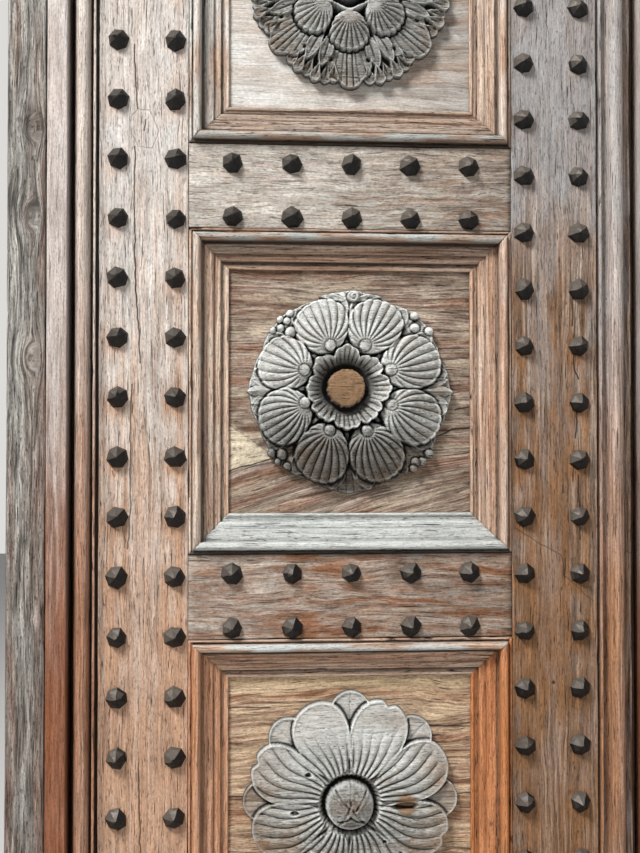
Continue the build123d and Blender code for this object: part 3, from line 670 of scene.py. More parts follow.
def mouldingPiece(panel, side, seed, look):
    low, high = boxOf(f"{panel}_panel")
    centreX, centreZ = (low[0] + high[0]) / 2, (low[2] + high[2]) / 2
    half = openingWidth / 2
    angle = math.radians(sideTurns[side])

    def place(along, across, out):
        p, q = along - half, across - half
        x = centreX + p * math.cos(angle) - q * math.sin(angle)
        z = centreZ + p * math.sin(angle) + q * math.cos(angle)
        return x, low[1] - out, z

    sweepTimber(f"{panel}_moulding_{side}", mouldingLoop, openingWidth, place, mouldingWood, "leaf",
                seed, {**mouldingSkin, **look})


def ridgeSilver(amount):
    top = mouldingSizes["recess"] + mouldingSizes["shoulder"]
    return lambda at: amount * smoothStep(top - 4, top + 4, at.out) \
        * smoothStep(-0.5, 0.4, softNoise(at.along / 45, at.across / 8, at.seed))


def faceSilver(amount):
    return lambda at: amount * smoothStep(-0.9, 0.2, softNoise(at.along / 60, at.across / 12, at.seed))


def darkeningAndLipShadow(amount):
    # the piece darkened by the given amount, and a painted shadow, nearly black, on the lip that touches the
    # rail or stile
    return lambda at: amount + (0.9 - amount) * (at.across < mouldingSizes["lip"] + 1.5)


mouldingLooks = {
    "lower": {
        "bottom": {"silver": faceSilver(0.6), "warm": always(0.2), "dirt": darkeningAndLipShadow(0.0)},
        "top": {"silver": ridgeSilver(0.95), "warm": always(0.15), "dirt": always(0.08)},
        "hinge": {"warm": always(0.6), "hollowShadeAndDirt": 0.45},
        "lock": {"warm": always(0.9), "hollowShadeAndDirt": 0.6},
    },
    "middle": {
        "bottom": {"silver": always(0.95), "hollowShadeAndDirt": 0.4, "dirt": darkeningAndLipShadow(0.04)},
        "top": {"silver": ridgeSilver(0.95), "warm": always(0.1), "dirt": always(0.3), "hollowShadeAndDirt": 0.7},
        "hinge": {"silver": ridgeSilver(0.3), "hollowShadeAndDirt": 0.7},
        "lock": {"silver": ridgeSilver(0.2), "warm": always(0.15), "hollowShadeAndDirt": 0.7},
    },
    "upper": {
        "bottom": {"silver": ridgeSilver(0.9), "dirt": darkeningAndLipShadow(0.34), "hollowShadeAndDirt": 0.5},
        "top": {"silver": ridgeSilver(0.8)},
        "hinge": {"silver": faceSilver(0.6)},
        "lock": {"silver": ridgeSilver(0.3)},
    },
}
for panelIndex, (panel, looks) in enumerate(mouldingLooks.items()):
    for sideIndex, (side, look) in enumerate(looks.items()):
        mouldingPiece(panel, side, 51 + 4 * panelIndex + sideIndex, look)
print("panel mouldings made")

# Border moulding round the leaf

borderSizes = {
    "groove": 4.0, "fillet": 4.5, "grooveDepth": 7.0, "hollowDepth": 11.0, "roll": 23.0, "rollRise": 6.0,
}
borderSkin = {
    "shownAbove": 20.0, "grooveDepth": 0.6, "ringWidth": 3.5, "nickDepth": 0.6, "swell": 0.35, "step": 7.0,
}


def borderSection(hollow, thickness, groove, fillet, grooveDepth, hollowDepth, roll, rollRise):
    # groove, fillet, hollow and roll, from the framing outwards
    filletEnd = groove + fillet
    rollStart = filletEnd + hollow
    rollEnd = rollStart + roll
    half = roll / 2
    spring = thickness - half + rollRise
    floor = thickness - hollowDepth
    section = [(0.0, 0.0), (0.0, thickness - grooveDepth), (groove, thickness - grooveDepth),
               (groove + 0.1, thickness - 0.8), (groove + 0.8, thickness), (filletEnd - 0.8, thickness),
               (filletEnd - 0.1, thickness - 0.8)]
    section += [(filletEnd + hollow * k / 4, floor + 0.6 * abs(k - 2)) for k in range(5)]
    section += [(rollStart + half + half * math.cos(t), spring + half * math.sin(t))
                for t in np.linspace(math.pi, 0, 13)]
    section += [(rollEnd, spring * (1 - k / 4)) for k in (1, 2, 3)] + [(rollEnd, 0.0)]
    section += [(rollEnd * (1 - k / 3), 0.0) for k in (1, 2)]
    return np.array(section)


def borderPiece(node, acrossAxis, side, material, seed, hollowShadeAndGrime=0.92, **look):
    # a border whose section runs outwards from the framing, to one side along x or z (axis 0 or 2)
    low, high = boxOf(node)
    stileLow, stileHigh = boxOf("hinge_stile")
    thickness = stileHigh[1] - stileLow[1]
    alongAxis = 2 - acrossAxis
    filletSide = borderSizes["groove"] + borderSizes["fillet"]
    hollow = high[acrossAxis] - low[acrossAxis] - filletSide - borderSizes["roll"]
    section = borderSection(hollow, thickness, **borderSizes)

    def place(along, across, out):
        beside = low[acrossAxis] + across if side > 0 else high[acrossAxis] - across
        spot = {acrossAxis: beside, alongAxis: low[alongAxis] + along}
        return spot[0], stileHigh[1] - out, spot[2]

    def grime(at):
        # painted shade: black in the groove and darker in the hollow, with some dirt; none on the roll
        deep = smoothStep(thickness - 2.5, thickness - 7, at.out) * (at.across < filletSide + hollow)
        return deep * np.where(at.across < borderSizes["groove"] - 0.5, 0.92, hollowShadeAndGrime)

    sweepTimber(node, section, high[alongAxis] - low[alongAxis], place, material, "leaf",
                seed, {"edge": np.zeros(len(section)), "dirt": grime, **borderSkin, **look})


borderPiece("hinge_border", 0, -1, borderWood, 71, warm=fadeDown(600, 1250, 0.8),
            silver=fadeUp(800, 1350, 0.6))
borderPiece("lock_border", 0, 1, lockBorderWood, 72, warm=fadeDown(600, 1250, 0.7),
            silver=fadeUp(800, 1350, 0.6), hollowShadeAndGrime=0.2)
borderPiece("top_border", 2, 1, borderWood, 73)
borderPiece("bottom_border", 2, -1, borderWood, 74)
plankPiece("lock_edge_strip", "z", lockStileWood, "leaf", "moulding_wood", 75, radius=1.0,
           silver=fadeUp(900, 1700, 0.5))
boardSkin = {
    "spacing": 5.0, "backSpacing": 20.0, "sideSpacing": 14.0, "step": 14.0, "radius": 3.5, "edgeWear": 0.6,
}
for number in range(1, 6):
    tone = softNoise(number * 1.9, 0.4, 81)
    plankPiece(f"back_board_{number}", "z", boardWood, "leaf", "board_wood", 80 + number, faceBack=True,
               warm=always(0.3 + 0.4 * tone), dirt=always(0.08 - 0.08 * tone), **boardSkin)
print("border and backing boards made")

# Fixed frame

# knots of the post, in millimetres up it and across it, then their size
postKnots = [(1428, 38, 14), (1301, 36, 15), (1094, 36, 15), (927, 26, 5), (713, 44, 4), (330, 30, 12)]
frameSkin = {"radius": 4.0, "shownAbove": -1.0, "swell": 0.9}
postSkin = {**frameSkin, "grooveDepth": 1.6, "ringWidth": 4.0, "spacing": 2.4, "backSpacing": 8.0,
            "step": 7.0}
beamSkin = {**frameSkin, "grooveDepth": 1.4, "spacing": 3.0, "sideSpacing": 10.0, "backSpacing": 10.0}
plankPiece("hinge_post", "z", postWood, "frame", "frame_wood", 91, knots=postKnots,
           warm=fadeDown(200, 1100, 0.2), **postSkin)
plankPiece("lock_post", "z", postWood, "frame", "frame_wood", 92, **postSkin)
plankPiece("head_beam", "x", postWood, "frame", "frame_wood", 93, **beamSkin)
plankPiece("threshold", "x", postWood, "frame", "frame_wood", 94, **beamSkin)
stopSkin = {"radius": 2.0, "grooveDepth": 0.3, "swell": 0.2, "nickDepth": 0.3, "spacing": 3.0, "step": 10.0}
stopLooks = {
    "hinge_stop": {"warm": fadeDown(550, 1150, 0.95), "silver": fadeUp(900, 1300, 0.6)},
    "lock_stop": {"warm": fadeDown(550, 1150, 0.95), "silver": fadeUp(900, 1300, 0.6)},
    "head_stop": {"silver": always(0.55)},
    "threshold_stop": {"warm": always(0.9)},
}
for index, (stop, look) in enumerate(stopLooks.items()):
    grain = "x" if stop in ("head_stop", "threshold_stop") else "z"
    plankPiece(stop, grain, stopWood, "frame", "stop_wood", 95 + index, **stopSkin, **look)

mortise = {"play": 2.0, "travel": 55.0, "endRoom": 8.0, "before": 5.0}


def cutMortise(piece, low, high):
    # the hole that the bolt shoots into
    corners = [(x, y, z) for x in (low[0], high[0]) for y in (low[1], high[1]) for z in (low[2], high[2])]
    faces = [(0, 1, 3, 2), (4, 6, 7, 5), (0, 4, 5, 1), (2, 3, 7, 6), (0, 2, 6, 4), (1, 5, 7, 3)]
    mesh = bpy.data.meshes.new("mortiseCutter")
    mesh.from_pydata([(x * mm, y * mm, z * mm) for x, y, z in corners], [], faces)
    cutter = linked("mortiseCutter", mesh)
    modifier = piece.modifiers.new("mortise", "BOOLEAN")
    modifier.operation = "DIFFERENCE"
    modifier.solver = "EXACT"
    modifier.object = cutter
    made = evaluatedMesh(piece)
    piece.modifiers.remove(modifier)
    piece.data = made
    bpy.data.objects.remove(cutter)


boltLow, boltHigh = boxOf("slide_bolt")
room = np.array([0.0, mortise["play"], mortise["play"]])
mortiseLow, mortiseHigh = boltLow - room, boltHigh + room
mortiseLow[0] = boxOf("lock_post")[0][0] - mortise["before"]
mortiseHigh[0] = boltHigh[0] + mortise["travel"] + mortise["endRoom"]
cutMortise(bpy.data.objects["lockPost"], mortiseLow, mortiseHigh)
print("fixed frame made")

# Ironwork


def forgedIron(name, blotch, pit, pitDepth, black, rust, dust, roughness, metallic):
    # Hand-forged iron under old oil, dust and a painted highlight: hammered, near black, browner where it
    # rusts
    material, add = emptyMaterial(name)
    place = add("ShaderNodeTexCoord").outputs["Object"]
    blotches = add("ShaderNodeTexNoise", {"Vector": place, "Scale": 1 / (blotch * mm), "Detail": 4.0})
    pits = add("ShaderNodeTexNoise", {"Vector": place, "Scale": 1 / (pit * mm), "Detail": 3.0})
    metal = add("ShaderNodeValToRGB", {0: blotches})
    setStops(metal, {0.38: black, 0.68: rust})
    # the mark is real dust on upward facets and a painted highlight on the facets that face the light
    dustAndLitFacets = add("ShaderNodeAttribute", attribute_name="dust").outputs["Fac"]
    patchy = add("ShaderNodeMapRange", {0: pits, 1: 0.3, 2: 0.7, 3: 0.7, 4: 1.0})
    cover = add("ShaderNodeMath", {0: dustAndLitFacets, 1: patchy}, operation="MULTIPLY", use_clamp=True)
    dusted = add("ShaderNodeMix", {0: cover, 6: metal, 7: linear(dust)}, data_type="RGBA")
    bump = add("ShaderNodeBump", {"Strength": 0.6, "Distance": pitDepth * mm, "Height": pits})
    rough = add("ShaderNodeMapRange", {0: pits, 1: 0.3, 2: 0.7, 3: roughness - 0.1, 4: roughness + 0.12})
    shader = add("ShaderNodeBsdfPrincipled", {"Base Color": dusted, "Normal": bump, "Roughness": rough,
                                              "Metallic": metallic})
    add("ShaderNodeOutputMaterial", {0: shader})
    return material


# blotches and pits in millimetres, the tones in sRGB
studIronLook = {
    "blotch": 9, "pit": 2.2, "pitDepth": 0.8, "black": "#0c0d0e", "rust": "#181412", "dust": "#6b635a",
    "roughness": 0.5, "metallic": 0.3,
}
hingeIronLook = {
    "blotch": 30, "pit": 3.0, "pitDepth": 0.8, "black": "#1d1c1c", "rust": "#4a3327", "dust": "#6e655c",
    "roughness": 0.55, "metallic": 0.6,
}
studIron = forgedIron("studIronForged", **studIronLook)
hingeIron = forgedIron("hingeIronForged", **hingeIronLook)
for node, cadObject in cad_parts.items():
    if any(word in node for word in ("strap", "pintle", "bolt")):
        cadObject.data.materials.clear()
        cadObject.data.materials.append(hingeIron)

# Studs: Geometry Nodes set a forged pyramid on every stud's place, each one turned and knocked differently

studSizes = {"Radius": 16.2 * mm, "Height": 19.0 * mm, "Tip": 1.4 * mm}
studShape = {
    "sides": 7, "swell": 0.18, "spin": 0.45, "least": (0.94, 0.86, 0.94), "most": (1.06, 1.0, 1.06),
    "knockLump": 9 * mm, "knock": (6.0 * mm, 1.5 * mm, 6.0 * mm),
}


def studTree(shape):
    tree = bpy.data.node_groups.new("forgedStuds", "GeometryNodeTree")
    sockets = {"Geometry": "Geometry", "Radius": "Float", "Height": "Float", "Tip": "Float", "Seed": "Int",
               "Iron": "Material"}
    for label, kind in sockets.items():
        tree.interface.new_socket(label, in_out="INPUT", socket_type="NodeSocket" + kind)
    tree.interface.new_socket("Geometry", in_out="OUTPUT", socket_type="NodeSocketGeometry")
    add = partial(addNode, tree)
    given = add("NodeGroupInput").outputs
    # a cone that swells in the middle of its height and points out of the door
    head = add("GeometryNodeMeshCone", {"Vertices": shape["sides"], "Side Segments": 3,
                                        "Radius Top": given["Tip"], "Radius Bottom": given["Radius"],
                                        "Depth": given["Height"]})
    here = add("GeometryNodeInputPosition")
    parts = add("ShaderNodeSeparateXYZ", {0: here})
    level = add("ShaderNodeMath", {0: parts.outputs["Z"], 1: given["Height"]}, operation="DIVIDE")
    above = add("ShaderNodeMath", {0: 1.0, 1: level}, operation="SUBTRACT")
    arch = add("ShaderNodeMath", {0: level, 1: above}, operation="MULTIPLY")
    wider = add("ShaderNodeMath", {0: arch, 1: 4 * shape["swell"], 2: 1.0}, operation="MULTIPLY_ADD")
    stretch = add("ShaderNodeCombineXYZ", {"X": wider, "Y": wider, "Z": 1.0})
    swelled = add("ShaderNodeVectorMath", {0: here, 1: stretch}, operation="MULTIPLY")
    domed = add("GeometryNodeSetPosition", {"Geometry": head, "Position": swelled})
    tipped = add("GeometryNodeTransform", {"Geometry": domed, "Rotation": (math.pi / 2, 0.0, 0.0)})
    # every stud has its own turn and size, and is knocked out of true
    spin = add("FunctionNodeRandomValue", {"Min": (0.0, -shape["spin"], 0.0),
                                           "Max": (0.0, shape["spin"], 0.0), "Seed": given["Seed"]},
               data_type="FLOAT_VECTOR")
    size = add("FunctionNodeRandomValue", {"Min": shape["least"], "Max": shape["most"],
                                           "Seed": given["Seed"]}, data_type="FLOAT_VECTOR")
    turn = add("FunctionNodeEulerToRotation", {0: spin})
    placed = add("GeometryNodeInstanceOnPoints", {"Points": given["Geometry"], "Instance": tipped,
                                                  "Rotation": turn, "Scale": size})
    real = add("GeometryNodeRealizeInstances", {"Geometry": placed})
    place = add("GeometryNodeInputPosition")
    lumps = add("ShaderNodeTexNoise", {"Vector": place, "Scale": 1 / shape["knockLump"], "Detail": 1.0})
    centred = add("ShaderNodeVectorMath", {0: lumps.outputs["Color"], 1: (-0.5,) * 3}, operation="ADD")
    knock = add("ShaderNodeVectorMath", {0: centred, 1: shape["knock"]}, operation="MULTIPLY")
    beaten = add("GeometryNodeSetPosition", {"Geometry": real, "Offset": knock})
    flat = add("GeometryNodeSetShadeSmooth", {"Geometry": beaten, "Shade Smooth": False})
    finished = add("GeometryNodeSetMaterial", {"Geometry": flat, "Material": given["Iron"]})
    add("NodeGroupOutput", {0: finished})
    return tree


def studPiece(name, node, seed):
    mesh = bpy.data.meshes.new(name + "Places")
    mesh.from_pydata(studPlaces(node).tolist(), [], [])
    carrier = linked(name + "Places", mesh)
    modifier = carrier.modifiers.new("studs", "NODES")
    modifier.node_group = studGroup
    values = {**studSizes, "Seed": seed, "Iron": studIron}
    for socket in studGroup.interface.items_tree:
        if socket.in_out == "INPUT" and socket.name in values:
            modifier[socket.identifier] = values[socket.name]
    made = evaluatedMesh(carrier)
    bpy.data.objects.remove(carrier)
    made.name = name
    facing, middles = np.zeros((2, len(made.polygons) * 3))
    made.polygons.foreach_get("normal", facing)
    made.polygons.foreach_get("center", middles)
    facing, middles = facing.reshape(-1, 3), middles.reshape(-1, 3)
    # dust and a painted highlight on the sides that face up and to the left, less of it high on the left
    # stile
    amount = 0.85 - 0.5 * smoothStep(0.6, 1.4, middles[:, 2]) * smoothStep(0.1, -0.2, middles[:, 0])
    dustAndLitFacets = smoothStep(0.42, 0.62, facing @ np.array([-0.55, -0.35, 0.76]))
    setAttribute(made, "dust", amount * dustAndLitFacets, "FACE")
    setPiece(name, made, "leaf", node)


studGroup = studTree(studShape)
for index, node in enumerate(("hinge_stile_studs", "lock_stile_studs", "rail_studs")):
    studPiece(node.split("_")[0] + "Studs", node, 11 + index)
print("studs made")

# Carved rosettes: each one is a field of heights over its panel, in millimetres, carved form over form


def turned(x, z, degrees):
    # the place seen from the rosette's middle, looking out along the given direction
    angle = math.radians(degrees)
    return x * math.cos(angle) + z * math.sin(angle), z * math.cos(angle) - x * math.sin(angle)


def fromCentre(radius, degrees):
    return radius * math.cos(math.radians(degrees)), radius * math.sin(math.radians(degrees))


def ovalEdge(u, v, middle, halfLength, halfWidth, taper=0.0):
    # millimetres inside an oval's outline, negative outside it
    width = np.maximum(halfWidth * (1 + taper * (u - middle) / halfLength), 0.2)
    return (1 - np.hypot((u - middle) / halfLength, v / width)) * min(halfLength, halfWidth)


def leafEdge(u, v, start, end, halfWidth, fullAt=0.5):
    # millimetres inside a leaf that is pointed at both ends
    share = np.clip((u - start) / (end - start), 0, 1)
    bulge = np.sin(math.pi * share ** (math.log(0.5) / math.log(fullAt))) ** 0.8
    inside = halfWidth * bulge - np.abs(v)
    return np.where((u > start) & (u < end), inside, -5.0)


def lay(height, top, edge, soft=2.0):
    cover = smoothStep(-0.3, soft, edge)
    return height + cover * np.maximum(top - height, 0)


def layBerry(height, x, z, radius, degrees, size, base):
    cx, cz = fromCentre(radius, degrees)
    gap = np.hypot(x - cx, z - cz) / size
    dome = base + size * 1.1 * np.sqrt(np.clip(1 - gap * gap, 0, 1))
    moat = 2.5 * smoothStep(1.45, 1.1, gap) * (gap > 0.98)
    return np.where(gap < 1, np.maximum(height, dome), height - moat)


def layLeaf(height, x, z, start, turn, length, half, rise, base, curl=0.0, fullAt=0.5, rim=2.0, vein=1.2):
    # a smooth back leaf with a raised rim and a groove down its middle
    u, v = turned(x - start[0], z - start[1], turn)
    v = v + curl * (u / length) ** 2 * length
    edge = leafEdge(u, v, 0.0, length, half, fullAt)
    share = np.clip(u / length, 0, 1)
    top = base + rise * np.sin(math.pi * np.clip(share + 0.15, 0, 1)) + rim * hump(edge - 1.8, 1.4)
    return lay(height, top - vein * hump(v, 1.3) * smoothStep(0.95, 0.6, share), edge, 1.6)


def shellPetal(height, x, z, turn, middle, halfLength, halfWidth, taper, fanAt, fingerTurn, bend, scallop,
               crestAt, crest, heel, rim, dome, flip, fluteDepth, worn, moat):
    # a scallop shell that humps up from its heel and falls to its rim, with rounded fingers fanned over it
    u, v = turned(x, z, turn)
    fan = np.arctan2(v, u - fanAt)
    reach = np.hypot(v, u - fanAt)
    fan = fan * (1 + bend * (reach / halfLength) ** 2)
    finger = np.abs(np.cos(math.pi * fan / math.radians(fingerTurn)))
    outward = smoothStep(fanAt - 12, fanAt + 14, u)
    edge = ovalEdge(u, v, middle, halfLength, halfWidth, taper)
    edge = edge + scallop * (finger ** 0.6 - 0.6) * outward
    rise = np.clip((crestAt - u) / (crestAt - middle + halfLength), 0, 1)
    fall = np.clip((u - crestAt) / (middle + halfLength - crestAt), 0, 1)
    top = crest - (crest - heel) * rise ** 2 - (crest - rim) * fall ** 1.35
    top = top - dome * np.clip(v / halfWidth, -1, 1) ** 2 * (1 - 0.4 * fall)
    top = top + flip * smoothStep(5.0, 0.5, edge) * smoothStep(0.3, 0.8, fall)
    depth = fluteDepth * smoothStep(4, 20, reach) * outward * (1 - worn * smoothStep(0.35, 0.85, fall))
    top = top - depth * (1 - finger ** 0.55)
    return lay(height - moat * hump(edge + 1.4, 1.3), top, edge, 2.2)


# the shells: places and sizes in millimetres from the rosette's middle, and how deep each form is cut
middleShell = {
    "middle": 101, "halfWidth": 41, "taper": 0.14, "fanAt": 70, "bend": 0.24, "scallop": 1.6, "crestAt": 84,
    "heel": 20, "rim": 14.5, "dome": 5, "flip": 3.5, "fluteDepth": 7.2, "worn": 0.35, "moat": 2.5,
}
upperShell = {
    "middle": 67, "halfLength": 30, "halfWidth": 29.5, "taper": 0.1, "fanAt": 48, "fingerTurn": 14.5,
    "bend": 0.06, "scallop": 2.4, "crestAt": 54, "crest": 41, "heel": 34, "rim": 27, "dome": 6, "flip": 1.5,
    "fluteDepth": 5.0, "worn": 0.2, "moat": 7.0,
}


def middleCarving(x, z):
    radius, angle = np.hypot(x, z), np.arctan2(z, x)
    outline = 149 + 2.5 * np.cos(8 * angle) + 2.0 * np.abs(np.cos(12 * angle + 0.6))
    veins = np.abs(np.cos(24 * angle + 2 * np.sin(8 * angle)))
    ground = 11 + 1.5 * softNoise(x / 12, z / 12, 3) - 2.6 * (1 - veins ** 0.5)
    height = np.where(radius < outline, ground - 4 * smoothStep(136, 150, radius), -2.0)
    for turn in range(0, 360, 45):
        # two leaves behind every stem
        for side in (-1, 1):
            height = layLeaf(height, x, z, fromCentre(88, turn + side * 12), turn + side * 14.8, 62, 17, 5,
                             10, curl=side * 0.1, fullAt=0.66, rim=2.5, vein=2.5)
    for turn in range(0, 360, 45):
        # stem between two shells, with its groove
        u, v = turned(x, z, turn)
        stem = 3.6 + 2.4 * smoothStep(75, 118, u) - np.abs(v)
        stem = np.where((u > 60) & (u < (124 if turn % 90 == 0 else 112)), stem, -5)
        height = lay(height, 19 - 7 * smoothStep(70, 125, u) - 1.6 * hump(v, 0.9), stem, 1.5)
    for turn in (0, 180):
        # spindle bud with ridges along it and two small leaf points
        u, v = turned(x, z, turn)
        for lean in (-1, 1):
            height = layLeaf(height, x, z, fromCentre(114, turn + lean * 3), turn + lean * 20, 38, 7, 3, 11,
                             rim=1.0)
        edge = leafEdge(u, v, 108, 157, 10.5, 0.45)
        height = lay(height, 12 + 8 * smoothStep(0, 9, edge) - 1.5 * np.abs(np.sin(v * 0.55)), edge, 1.6)
    # bud with a rolled knob at the top, plain leaf at the bottom
    for lean in (-1, 1):
        height = layLeaf(height, x, z, fromCentre(100, 90 + lean * 3), 90 + lean * 3, 42, 6.5, 6, 12, rim=0.5)
        height = layLeaf(height, x, z, fromCentre(134, 90 + lean * 2), 90 + lean * 66, 44, 6, 3, 11,
                         curl=lean * -0.22)
        height = layLeaf(height, x, z, fromCentre(112, 270 + lean * 2), 270 + lean * 38, 46, 11, 3, 9)
    knobX, knobZ = fromCentre(142, 88)
    knob = np.hypot(x - knobX, z - knobZ)
    spiral = 1.6 * np.cos(2 * math.pi * knob / 5.5 + np.arctan2(z - knobZ, x - knobX))
    height = lay(height, 21 - 0.03 * knob ** 2 + spiral, 10.0 - knob, 2.0)
    fingers = (25, 23, 24, 26, 22, 25, 23, 24)
    for index in range(8):
        turn = 22.5 + 45 * index + 1.5 * softNoise(index * 1.7, 0.3, 9)
        height = shellPetal(height, x, z, turn, halfLength=44 + 1.5 * softNoise(index * 2.3, 0.5, 4),
                            fingerTurn=0.74 * fingers[index],
                            crest=35 + 1.5 * softNoise(index * 1.9, 0.2, 5), **middleShell)
    rimBerries = [
        (141, 132, 6), (140, 138, 6), (148, 142, 5.5), (148, 128, 6), (151, 134.5, 5.5), (123, 135.5, 9),
        (150, 49.6, 6.5), (150, 37.5, 6.5), (137, 44, 7),
        (150, 218, 6.5), (139, 223, 8), (147, 230, 6), (152, 224, 5),
        (152, -38, 6.5), (152, -44, 6), (145, -47, 6), (151, -50.5, 6),
    ]
    for place, turn, size in rimBerries:
        height = layBerry(height, x, z, place, turn, size, 9.5)
    # ruffled collar round the cup, in eight lobes with fine flutes
    lobes = 53 + 9 * np.abs(np.cos(4 * angle)) ** 0.75 + 2.6 * np.abs(np.cos(12 * angle))
    lobes = lobes + 4.5 * softNoise(2.2 * np.cos(angle), 2.2 * np.sin(angle), 71) - 3 * smoothStep(0, -50, z)
    funnel = np.clip((radius - 34) / (lobes - 34), 0, 1)
    collar = 10 + 30 * funnel + 1.2 * smoothStep(0.85, 0.97, funnel)
    flutes = np.abs(np.cos(20 * angle + 0.8 * np.sin(4 * angle)))
    fluted = smoothStep(0.1, 0.4, funnel) * smoothStep(1.05, 0.85, funnel)
    collar = collar - 5.0 * (1 - flutes ** 0.5) * fluted
    height = height - 2 * hump(radius - lobes - 1.6, 1.6)
    height = lay(height, collar, lobes - radius, 1.8)
    for place, turn in ((69, 112), (70, 157), (69, 68), (70, 23), (67, 198.5), (67, 247), (69, 295),
                        (70, 340)):
        height = layBerry(height, x, z, place, turn, 8.2, 26)
    # deep cup and the broken, flat boss
    cup = 7 + 6 * smoothStep(30, 37, radius)
    height = np.where(radius < 38, np.minimum(height, cup + 30 * smoothStep(35.0, 40, radius)), height)
    ragged = 29 + 0.9 * softNoise(angle * 5, 1.3, 21) + 0.6 * softNoise(angle * 13, 2.1, 22)
    broken = 29 + 1.2 * softNoise(x / 7, z / 16, 23) - 2.2 * smoothStep(4.0, 0.5, ragged - radius) \
        * smoothStep(-0.3, 0.4, softNoise(angle * 9, 0.7, 24))
    return lay(height, broken, ragged - radius, 1.6)


def upperCarving(x, z):
    radius, angle = np.hypot(x, z), np.arctan2(z, x)
    height = np.where(radius < 140, 6 + 1.5 * softNoise(x / 9, z / 9, 33), -2.0)
    step = 360 / 7
    for index in range(7):
        base = -90 + step * index
        # a fan of rounded lobes between two broad leaves, the middle ones longest
        for place, (lean, reach) in enumerate(((-16, 148), (-9, 152), (-2, 150), (5, 153), (12, 150),
                                               (18, 146))):
            turn = base + step / 2 + lean + 1.5 * softNoise(index * 2.9 + place, 0.4, 35)
            height = layLeaf(height, x, z, fromCentre(96, base + step / 2 + lean * 0.75), turn, reach - 95,
                             9.5, 7, 10 + 4 * (place % 2), fullAt=0.84, rim=2.4, vein=3.6)
    for index in range(7):
        base = -90 + step * index
        # broad leaf with two grooves beside its rib
        u, v = turned(x, z, base)
        wave = 1 + 0.10 * np.sin(u / 6.0 + index) + 0.05 * np.sin(u / 2.9)
        edge = ovalEdge(u, v / wave, 112, 41, 33, -0.12)
        share = np.clip((u - 72) / 80, 0, 1)
        top = 23 - 10 * share ** 1.6 - 5.5 * (v / 33) ** 2 + 2.4 * smoothStep(4.5, 0.8, edge)
        for groove in (-3.2, 3.2):
            top = top - 3.4 * hump(v - groove * (1 + 0.6 * share), 1.1)
        for groove, spread in ((-12, 0.9), (12, 0.9), (-20, 1.2), (20, 1.2)):
            top = top - 2.0 * hump(v - groove * (0.4 + share * spread), 1.4)
        height = lay(height - 3 * hump(edge + 1.2, 1.2), top, edge, 1.8)
    for index in range(7):
        # curled leaves that come out between two shells, with a rolled edge and a dark eye
        base = -90 + step * (index + 0.5)
        for lean in (-1, 1):
            height = layLeaf(height, x, z, fromCentre(66, base + lean * 3), base + lean * 15, 62, 11.5, 7, 17,
                             curl=lean * 0.12, fullAt=0.6, rim=3.0, vein=3.2)
            eyeX, eyeZ = fromCentre(112, base + lean * 11)
            height = height - 5 * smoothStep(4.5, 2.0, np.hypot(x - eyeX, z - eyeZ)) * (height > 12)
    for index in range(7):
        height = shellPetal(height, x, z, -90 + step * index, **upperShell)
    # bowl and its boss, carved as a knot
    ring = 33 + 1.2 * np.cos(7 * (angle + math.pi / 2))
    height = lay(height, 37.0, 3.0 - np.abs(radius - ring - 3.5), 1.4)
    height = np.where(radius < ring, 8 + 20 * smoothStep(ring - 5, ring + 1, radius), height)
    knot = 30 - 0.012 * radius ** 2 + 2.2 * np.cos(3 * angle + radius / 5.0)
    return lay(height, knot, 25 - radius, 3.0)


